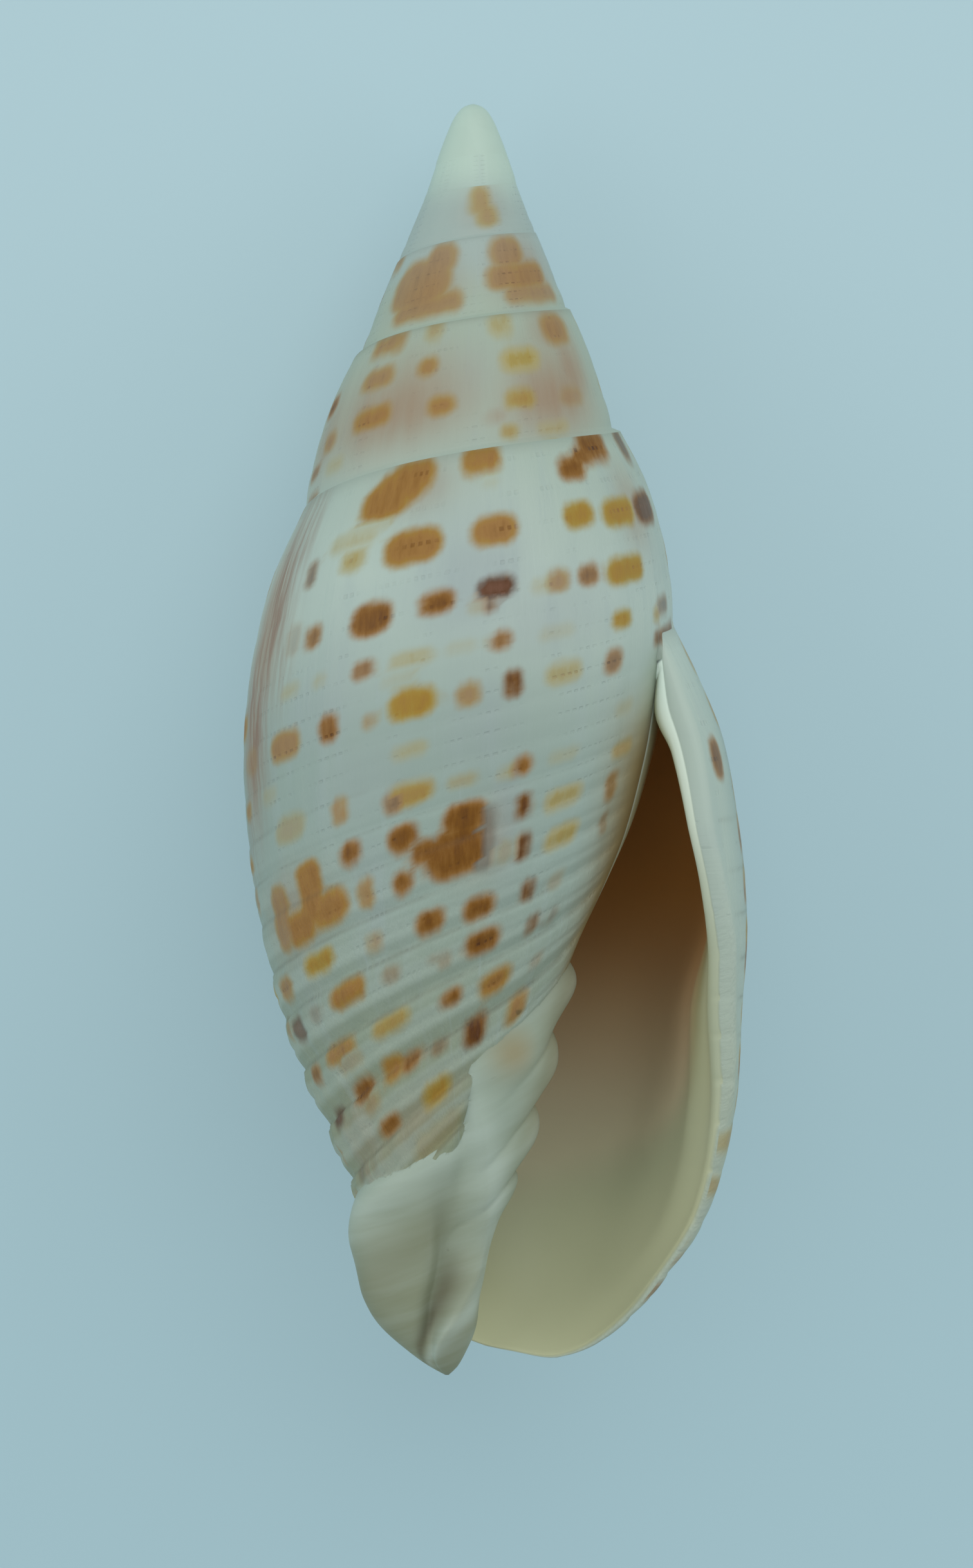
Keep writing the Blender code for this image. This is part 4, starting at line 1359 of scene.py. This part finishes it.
class ShellPaint:
    """The layers of the shell's finish, from the ground colour up."""

    def __init__(self, finish: ShellFinish, graph: Graph) -> None:
        """Reads what the mesh holds and works out what several layers share.

        Args:
            finish: the colours and strengths.
            graph: the tree to build in.
        """
        self.finish, self.graph = finish, graph
        self.where = graph.place()
        self.near, self.tone, self.strength = graph.stored("marks")
        self.height, self.depth, self.glazed = graph.stored("regions")
        self.row, self.edge, self.stain = graph.stored("lines")
        self.pink, self.lilac, self.smoke = graph.stored("tints")
        # swells: painted highlight on the pillar's crests, painted shade in its hollows, and warmth
        self.crest, self.hollow, self.warmth = graph.stored("swells")
        around, down, _ = graph.parts(graph.node("ShaderNodeUVMap", {"uv_map": "Coil"}, {}))
        self.around, self.down = around * 100, down * 100
        self.outside = self.depth.steps(0.02, 0.0)
        self.inward = self.edge.steps(0.3, 1.6)
        self.cloud = graph.noise(self.where, 110, 3).steps(0.4, 0.68)
        streaks = self.along(3.4, 0.2, 0.0, 1.0, 4, 0.6)
        self.streaks = streaks * self.height.steps(0.09, 0.14)
        self.broad = self.along(0.8, 0.12, 7.0, 1.0, 3, 0.6)
        self.cord = ((self.row + 0.5).fraction() - 0.5).squared()

    def along(self, round_scale: float, down_scale: float, layer: float, *noise: float) -> Wire:
        """Noise drawn out along the growth lines; noise holds its scale, detail and roughness."""
        at = self.graph.vector(self.around * round_scale, self.down * down_scale, layer)
        return self.graph.noise(at, *noise)

    def layered(self, colour: Value, *layers: Layer) -> Value:
        """Lays colours over one another by height.

        Args:
            colour: the lowest.
            layers: those above it, in order.

        Returns:
            The mixed colour.
        """
        for layer in layers:
            share = self.height.steps(*layer.span) * layer.share
            colour = self.graph.mix(share, colour, layer.colour)
        return colour

    def ground(self) -> Wire:
        """Cream, cooler in clouds, greener up the spire and towards the foot, with growth lines;
        darker in the middle and at the foot as painted shade, paler by the lip as painted light,
        and with painted highlights on the cords' crests near the foot.

        Returns:
            The colour under the spots.
        """
        finish, mix = self.finish, self.graph.mix
        ground = mix(self.cloud * finish.cloudiness, finish.cream, finish.cool)
        ground = self.layered(ground, *finish.ground)
        # painted light: the outside paler within a few millimetres of the lip
        ground = mix(self.edge.steps(7.0, 1.5) * 0.55, ground, finish.verge)
        lines = self.broad.steps(0.5, 0.75) * 0.3 + self.streaks.steps(0.55, 0.8) * finish.streakiness
        ground = mix(lines, ground, finish.cool)
        ground = mix(self.lilac * (self.broad * 0.8 + 0.4), ground, finish.lilac)
        ground = mix(self.pink * (self.broad + 0.8), ground, finish.pink)
        ground = mix(self.smoke * self.streaks.steps(0.35, 0.6), ground, finish.smoke)
        # painted highlights: the cords' crests near the foot are mixed towards cream
        crests = self.cord.steps(0.07, 0.01) * self.height.steps(0.55, 0.72)
        return mix(crests * self.outside * self.inward * 0.35, ground, finish.cream)

    def pits(self) -> Wire:
        """Beads in a thread along each groove and along the middle of each cord.

        Returns:
            1 in a pit, 0 elsewhere.
        """
        half_row = ((self.row * 2 + 0.5).fraction() - 0.5) * 0.5
        in_line = half_row.squared().steps(0.0016, 0.0002) * self.outside
        beads = (self.around * 3.1 + self.graph.noise(self.where, 400, 1) * 2).fraction() - 0.5
        return in_line * beads.squared().steps(0.11, 0.03) * self.broad.steps(0.45, 0.7)

    def spotted(self, ground: Wire, pits: Wire) -> Wire:
        """Spots, paler at their soft edges, with darker strokes along the growth lines.

        Args:
            ground: the colour below.
            pits: where the pits are.

        Returns:
            The colour with spots, with dirt in the pits, and with painted shade in the grooves.
        """
        graph, finish = self.graph, self.finish
        ragged = self.along(1, 1, 0.0, 1.3, 3) - 0.5
        fibre = self.along(2.2, 0.5, 3.0, 1.5, 3, 0.6) - 0.5
        shifted = self.near + ragged * 0.3 + fibre * 0.05
        shade = self.tone - 0.18 + shifted.steps(-0.1, 0.5) * 0.2 + fibre * 0.3 + pits * 0.2
        share = shifted.steps(-0.34, 0.24) * self.strength * self.outside
        colour = graph.mix(share, ground, graph.ramp(shade, finish.spots))
        # painted shade: the grooves between the cords low on the body are darkened, broken up by noise
        grooves = self.cord.steps(0.14, 0.25) * self.height.steps(0.45, 0.75)
        grooves = grooves * self.outside * self.inward
        grooves = grooves * (graph.noise(self.where, 520, 2).steps(0.3, 0.62) * 0.7 + 0.3)
        return graph.mix(pits * finish.pit_dirt + grooves * finish.groove_shade_and_dirt, colour, finish.dirt_and_groove_shade)

    def folds(self) -> Wire:
        """Fine folds that run slantwise over the pillar.

        Returns:
            Noise about 0.5.
        """
        x, y, z = self.graph.parts(self.where)
        slanted = self.graph.vector(x * 150, (y - x * 0.47) * 1100, z * 150)
        return self.graph.noise(slanted, 1.0, 3, 0.6)

    def glazed_over(self, colour: Wire, folds: Wire) -> Wire:
        """Glaze by the aperture and over the pillar, with painted highlight on crests and painted
        shade in hollows.

        Args:
            colour: the colour below.
            folds: the fine folds.

        Returns:
            The colour with the glaze.
        """
        finish, mix = self.finish, self.graph.mix
        glaze = self.layered(finish.glaze, finish.glaze_low)
        # painted highlight on the crests of the fine folds, the swelling and the pleats
        glaze = mix(folds.steps(0.35, 0.7) * 0.18 + self.crest * 0.42, glaze, finish.cream)
        # painted shade in the hollow below the swelling and in the pleats' notches
        glaze = mix(self.hollow * 0.5, glaze, finish.hollow)
        # warm tint, partly a painted reflection of the throat by the aperture
        return mix(self.warmth, mix(self.glazed.steps(0.0, 1.0), colour, glaze), finish.warm)

    def inside(self) -> Wire:
        """White by the lip, then yellow and olive, then brown that pales towards the foot.

        Returns:
            The colour behind the lip.
        """
        finish, mix = self.finish, self.graph.mix
        deeper = self.depth + (self.graph.noise(self.where, 160, 2) - 0.5) * 0.25
        # the lip's colour: near-white at the top, partly painted light, yellower lower down
        inner = self.layered(finish.lip, *finish.lip_down)
        inner = mix(deeper.steps(0.05, 0.4) * self.height.steps(0.88, 0.74), inner, finish.lip_inner)
        inner = mix(deeper.steps(0.6, 1.4) * self.height.steps(0.82, 0.7) * 0.7, inner, finish.olive)
        return mix(deeper.steps(0.9, 2.6), inner, self.layered(finish.throat, *finish.throat_down))

    def relief(self, pits: Wire, folds: Wire) -> Wire:
        """Fine relief: pits, growth lines and a grain outside, and folds in the glaze.

        Args:
            pits: where the pits are.
            folds: the fine folds.

        Returns:
            The bumped normal.
        """
        grain = self.along(9, 3, 5.0, 1.0, 3, 0.6) * self.height.steps(0.5, 0.75)
        relief = self.streaks * 0.6 - pits * 0.8 + self.graph.noise(self.where, 700, 2) * 0.12
        relief = (relief + grain * 1.6) * self.outside * self.glazed.steps(0.9, 0.1)
        relief = relief + folds * self.glazed.steps(0.1, 0.9) * 0.5
        inputs = {"Strength": self.finish.bump, "Distance": self.finish.bump_depth, "Height": relief}
        return self.graph.node("ShaderNodeBump", {}, inputs)

    def build(self) -> None:
        """Puts the layers together, then dirt in the slit and a few specks, and the shader."""
        finish, mix = self.finish, self.graph.mix
        pits, folds = self.pits(), self.folds()
        colour = self.glazed_over(self.spotted(self.ground(), pits), folds)
        colour = mix(self.depth.steps(0.0, 0.02), colour, self.inside())
        colour = mix(self.stain, colour, finish.dirt_and_groove_shade)
        specks = self.graph.noise(self.where, 800, 1).steps(0.76, 0.8) * self.height.steps(0.55, 0.75)
        colour = mix(specks * self.outside * 0.6, colour, finish.dirt_and_groove_shade)
        rough = self.cloud * 0.06 + finish.roughness + self.streaks * 0.05 + self.stain * 0.3
        self.graph.finish(self.graph.node("ShaderNodeBsdfPrincipled", {}, {
            "Base Color": colour, "Roughness": rough, "Normal": self.relief(pits, folds),
            "IOR": finish.ior, "Specular IOR Level": finish.specular}))


# ---------------------------------------------------------------- what the finish reads

@dataclass
class Marker:
    """Works out what the finish reads at each face corner of the joined mesh.

    The vectors are: marks (nearness to a spot, its tone, its strength), regions (height from the
    tip over the length, depth behind the lip in widths of the pale border, glaze), swells (painted
    highlight on the pillar's crests, painted shade in its hollows, and the warmth of the glaze,
    partly a painted reflection), lines (row, distance from the lip in millimetres, dirt) and
    tints (pink, lilac, smoke). The map Coil holds the way round and the way down, in decimetres.
    """

    mesh: bpy.types.Mesh
    coil: Coil
    sculpture: Sculpture
    pillar: Pillar
    length: float = 60.0
    middle: float = -2.0           # the pillar's middle to the right of the axis, near the foot
    deepest: float = 40.0
    farthest: float = 9.0
    mean_girth: float = 0.85       # a whorl's mean radius over its girth
    border: Curve = through([(30, 1.2), (38, 1.5), (43, 1.8), (47, 2.8), (50, 6.0), (54, 15.0),
                             (57, 24.0)])

    def __post_init__(self) -> None:
        """Reads each corner's turn, row, zone and place, still in the coiling frame."""
        mesh = self.mesh
        self.turn, self.row, self.zone = (read_corners(mesh, name) for name in CORNER_VALUES)
        places = np.empty(len(mesh.vertices) * 3, np.float32)
        mesh.vertices.foreach_get("co", places)
        index = np.empty(len(mesh.loops), np.int32)
        mesh.loops.foreach_get("vertex_index", index)
        self.x, y, self.z = places.reshape(-1, 3)[index].astype(float).T
        self.h, self.angle = -y, np.degrees(np.arctan2(self.z, self.x - self.middle))
        self.outside = self.zone < 0.5
        self.on_pillar = self.zone == Zone.PILLAR.value
        self.share = self.sculpture.share_at(self.row)
        self.to_lip = self.coil.lip_line(self.share) - self.turn
        self.past_lip = self.turn - self.coil.lip_turn + 1

    def regions(self) -> tuple[np.ndarray, np.ndarray, np.ndarray]:
        """Height, depth behind the lip, and where the glaze lies.

        Returns:
            One line for each.
        """
        reach = 2 * np.pi * self.coil.girth(self.turn) / self.border(self.h)
        behind = np.where(self.zone == Zone.INSIDE.value, self.to_lip * reach, 0)
        before = self.coil.lip_turn - 1 - self.turn
        behind = np.where(self.zone == Zone.FLOOR.value, before * reach, behind)
        beside = ease(0.045, 0.0, self.past_lip) * ease(0.3, 0.4, self.share) * self.outside
        glaze = np.where(self.on_pillar, 1.0, np.where(self.outside, beside, 0))
        return self.h / self.length, np.clip(behind, 0, self.deepest), glaze

    def swells(self) -> tuple[np.ndarray, np.ndarray, np.ndarray]:
        """Painted highlight on the pillar's crests, painted shade in its hollows, and warmth by the
        aperture: a painted reflection of the throat beside it, and a warm tint and stain on the pillar.

        Returns:
            One line for each.
        """
        h, angle, pillar = self.h, self.angle, self.pillar
        leftward, rise = pillar.leftward(angle), pillar.crest(angle)
        folds = pillar.folds(h, self.x, self.z)
        # painted highlight: the swelling's crest, the band's edge and the pleats' crests
        crest = bell(h, rise + 0.4, 1.5) * ease(-125, -95, leftward)
        crest = np.maximum(crest, bell(angle, pillar.band_edge(h) - 14, 14))
        crest = np.maximum(crest, ease(0.1, 0.4, folds))
        # painted shade: the hollow below the swelling and the pleats' notches
        hollow = bell(h, rise + 3.6, 1.6) * ease(-120, -95, leftward)
        hollow = np.maximum(hollow, 0.9 * ease(-0.02, -0.36, folds))
        # painted reflection of the brown throat along the aperture's left edge; on the pillar, warmth
        # towards the aperture and a stain
        verge = ease(0.09, 0.0, self.past_lip) * ease(27, 32, h) * ease(50, 38, h)
        inner_side = ease(55, 5, np.abs(angle)) * ease(37, 42, h) * ease(53, 46, h)
        stained = 0.6 * bell(h, 45.0, 1.1) * bell(angle, 52, 11)
        warmth = np.where(self.on_pillar, np.maximum(0.5 * inner_side, stained),
                          np.where(self.outside, 0.85 * verge, 0))
        return crest * self.on_pillar, hollow * self.on_pillar, warmth

    def lines(self) -> tuple[np.ndarray, np.ndarray, np.ndarray]:
        """The row, the distance from the lip, and dirt in the slit and along the seam.

        Returns:
            One line for each.
        """
        edge = np.clip(self.to_lip * self.coil.way_round, 0, self.farthest)
        slit = self.pillar.slit(self.h, self.angle) * self.on_pillar
        joint = bell(self.row, -0.2, 0.12) * self.outside * ease(-3, -1, self.turn)
        return self.row, edge, 0.6 * slit + 0.18 * joint

    def store(self) -> None:
        """Stores the vectors and the map, and removes what only the mesh's making needed."""
        pattern = SpotPattern(self.coil, self.sculpture)
        near, tone, strength = pattern.paint(self.turn, self.row)
        vectors = {"marks": (np.where(self.outside, near, pattern.far), tone, strength),
                   "regions": self.regions(), "swells": self.swells(), "lines": self.lines(),
                   "tints": pattern.tints(self.turn, self.row) * self.outside}
        for name, values in vectors.items():
            write_corners(self.mesh, name, np.stack(values, -1))
        self.store_map()
        for name in CORNER_VALUES:
            self.mesh.attributes.remove(self.mesh.attributes[name])

    def store_map(self) -> None:
        """Stores the map Coil.

        Formula: the way round adds up 2 pi times the mean radius from the tip to a turn, and the
        way down is a share of the wall's length there.
        """
        coil = self.coil
        turns = np.linspace(coil.lip_turn - coil.whorls - 0.1, coil.lip_turn, 600)
        around = np.cumsum(2 * np.pi * self.mean_girth * coil.girth(turns)) * (turns[1] - turns[0])
        down = self.share * (coil.foot(self.turn) - coil.seam(self.turn))
        pair = np.stack([np.interp(self.turn, turns, around), down], -1) / 100
        layer = self.mesh.uv_layers.new(name="Coil")
        layer.data.foreach_set("uv", pair.astype(np.float32).ravel())


# ---------------------------------------------------------------- the shell

@dataclass
class Shell:
    """The whole shell: wall and pillar made one, marked, laid down and dressed."""

    coil: Coil = field(default_factory=Coil)
    sculpture: Sculpture = field(default_factory=Sculpture)
    pillar: Pillar = field(default_factory=Pillar)
    finish: ShellFinish = field(default_factory=ShellFinish)
    roll: float = -7.2             # degrees to its left, and then with its base up
    pitch: float = -12.1

    def turned(self) -> Matrix:
        """The turn from the coiling frame to how the shell lies."""
        roll, pitch = math.radians(self.roll), math.radians(self.pitch)
        return Matrix.Rotation(pitch, 4, "X") @ Matrix.Rotation(roll, 4, "Y")

    def build(self) -> tuple[bpy.types.Object, Matrix]:
        """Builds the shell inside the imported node's box.

        Returns:
            The object, and the matrix from the coiling frame in millimetres to the world.
        """
        shell = self.join(Wall(self.coil, self.sculpture).build(), self.pillar.build())
        Marker(shell.data, self.coil, self.sculpture, self.pillar).store()
        lying = self.turned() @ Matrix.Scale(MM, 4)
        shell.data.transform(lying)
        stand = self.stand(shell.data)
        shell.data.transform(stand)
        shell.data.shade_smooth()
        shell.data.materials.append(self.finish.material())
        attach(shell, "root")
        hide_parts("shell")
        return shell, stand @ lying

    def stand(self, mesh: bpy.types.Mesh) -> Matrix:
        """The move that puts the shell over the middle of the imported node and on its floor.

        Args:
            mesh: the shell, already turned as it lies.

        Returns:
            The move.
        """
        places = np.empty(len(mesh.vertices) * 3, np.float32)
        mesh.vertices.foreach_get("co", places)
        low, high = places.reshape(-1, 3).min(0), places.reshape(-1, 3).max(0)
        cad_low, cad_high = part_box("shell")
        middle = [(cad_low[i] + cad_high[i] - low[i] - high[i]) / 2 for i in (0, 1)]
        return Matrix.Translation((middle[0], middle[1], cad_low[2] - low[2]))

    def join(self, wall: bpy.types.Object, pillar: bpy.types.Object) -> bpy.types.Object:
        """Makes the wall and the pillar one closed body.

        Args:
            wall: the spiral wall, in millimetres.
            pillar: the pillar, in millimetres.

        Returns:
            The joined object; the two are removed.
        """
        union = wall.modifiers.new("union", "BOOLEAN")
        union.operation, union.solver, union.object = "UNION", "EXACT", pillar
        graph = bpy.context.evaluated_depsgraph_get()
        mesh = bpy.data.meshes.new_from_object(wall.evaluated_get(graph))
        for thing in (wall, pillar):
            bpy.data.objects.remove(thing)
        return shown("mitre_shell", mesh)


# ---------------------------------------------------------------- the studio

@dataclass(frozen=True)
class Lamp:
    """A square soft lamp that faces the shell: its place and size in metres, and its power."""

    name: str
    place: tuple[float, float, float]
    size: float
    power: float

    def build(self) -> None:
        """Puts the lamp in the scene and turns it to the shell."""
        data = bpy.data.lights.new(self.name, "AREA")
        data.size, data.energy = self.size, self.power
        lamp = shown(self.name, data)
        place = Vector(self.place)
        lamp.location = place
        lamp.rotation_euler = (Vector((0, 0, 0.01)) - place).to_track_quat("-Z", "Y").to_euler()


@dataclass
class Studio:
    """A plain pale floor, soft lamps and the camera."""

    floor_colour: Colour = srgb(173, 201, 208)
    floor_near: Colour = srgb(160, 190, 198)
    floor_radius: float = 6.0
    floor_sides: int = 96
    sky_colour: Colour = srgb(170, 201, 209)
    light_colour: Colour = (0.93, 0.98, 1.0)
    ambient: float = 0.53
    evenness: float = 0.5          # how much of the floor's shade is evened out near the shell
    lamps: tuple[Lamp, ...] = (
        Lamp("key", (0.1, 0.95, 0.9), 1.4, 9.5), Lamp("left", (-1.0, 0.1, 0.45), 1.0, 5.2),
        Lamp("right", (1.0, 0.1, 0.45), 1.0, 3.5))
    aim: tuple[float, float, float] = (0.635, -32.3, 0.0)
    tilt: float = 4.0
    distance: float = 250.0
    picture_height: float = 73.63
    sensor: float = 36.0

    def build(self, to_world: Matrix) -> None:
        """Makes the floor, the world, the lamps and the camera.

        Args:
            to_world: from the coiling frame in millimetres to the world.
        """
        self.make_floor()
        self.make_world()
        for lamp in self.lamps:
            lamp.build()
        self.make_camera(to_world)
        bpy.context.scene.view_settings.view_transform = "Standard"

    def make_floor(self) -> None:
        """A wide round floor at the height on which the shell lies."""
        mesh = bpy.data.meshes.new("floor")
        angle = np.linspace(0, 2 * np.pi, self.floor_sides, endpoint=False)
        rim = np.stack([np.cos(angle), np.sin(angle), 0 * angle], -1) * self.floor_radius
        mesh.from_pydata(rim.tolist(), [], [list(range(self.floor_sides))])
        mesh.materials.append(self.floor_paper())
        shown("floor", mesh)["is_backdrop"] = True

    def floor_paper(self) -> bpy.types.Material:
        """Pale paper, a little darker near the base, and evenly bright where it is far away.

        Returns:
            The floor's material.
        """
        material = bpy.data.materials.new("floor_paper")
        g = Graph(material)
        where = g.place()
        x, y, _ = g.parts(where)
        far = (x.squared() + y.squared()).steps(0.02, 0.8)
        nearer = (y.steps(0.035, -0.05) + (g.noise(where, 14, 2) - 0.5) * 0.3) * (1 - far)
        colour = g.mix(nearer, self.floor_colour, self.floor_near)
        paper = g.node("ShaderNodeBsdfPrincipled", {}, {"Base Color": colour, "Roughness": 0.9,
                                                       "Specular IOR Level": 0.1})
        even = g.node("ShaderNodeEmission", {}, {"Color": colour, "Strength": 1.0})
        share = g.seen() * (far * (1 - self.evenness) + self.evenness)
        g.finish(g.node("ShaderNodeMixShader", {}, {0: share, 1: paper, 2: even}))
        return material

    def make_world(self) -> None:
        """Even light, with the floor's colour wherever the background itself is seen."""
        world = bpy.data.worlds.new("studio")
        bpy.context.scene.world = world
        g = Graph(world)
        light, sky = (
            g.node("ShaderNodeBackground", {}, {"Color": (*colour, 1), "Strength": strength})
            for colour, strength in ((self.light_colour, self.ambient), (self.sky_colour, 1.0)))
        g.finish(g.node("ShaderNodeMixShader", {}, {0: g.seen(), 1: light, 2: sky}),
                 "ShaderNodeOutputWorld")

    def make_camera(self, to_world: Matrix) -> None:
        """The camera, placed in the coiling frame and carried to the world.

        Args:
            to_world: from the coiling frame in millimetres to the world.
        """
        tilt = math.radians(self.tilt)
        back = Vector((0, -math.sin(tilt), math.cos(tilt)))
        up = Vector((0, math.cos(tilt), math.sin(tilt)))
        data = bpy.data.cameras.new("camera")
        data.sensor_width = self.sensor
        data.lens = self.sensor * self.distance / self.picture_height
        data.clip_start = 0.01
        camera = shown("camera", data)
        turn = to_world.to_3x3().normalized()
        axes = Matrix([turn @ up.cross(back), turn @ up, turn @ back]).transposed().to_4x4()
        place = to_world @ (Vector(self.aim) + back * self.distance)
        camera.matrix_world = Matrix.Translation(place) @ axes
        bpy.context.scene.camera = camera


def corners(box: tuple[Vector, Vector]) -> list[list[float]]:
    """A box as plain lists."""
    return [list(corner) for corner in box]


def main() -> None:
    """Builds the shell and the studio, reports each, and works out both boxes."""
    cad_box = corners(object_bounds())
    logging.basicConfig(level=logging.INFO, format="%(message)s")
    LOG.info("packed nodes: %s", ", ".join(sorted(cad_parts)))
    shell, to_world = Shell().build()
    LOG.info("%s: %d faces", shell.name, len(shell.data.polygons))
    studio = Studio()
    studio.build(to_world)
    LOG.info("studio: a floor, the world, %d lamps and the camera", len(studio.lamps))
    {"cad": cad_box, "visual": corners(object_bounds())}


if __name__ == "__main__":
    main()
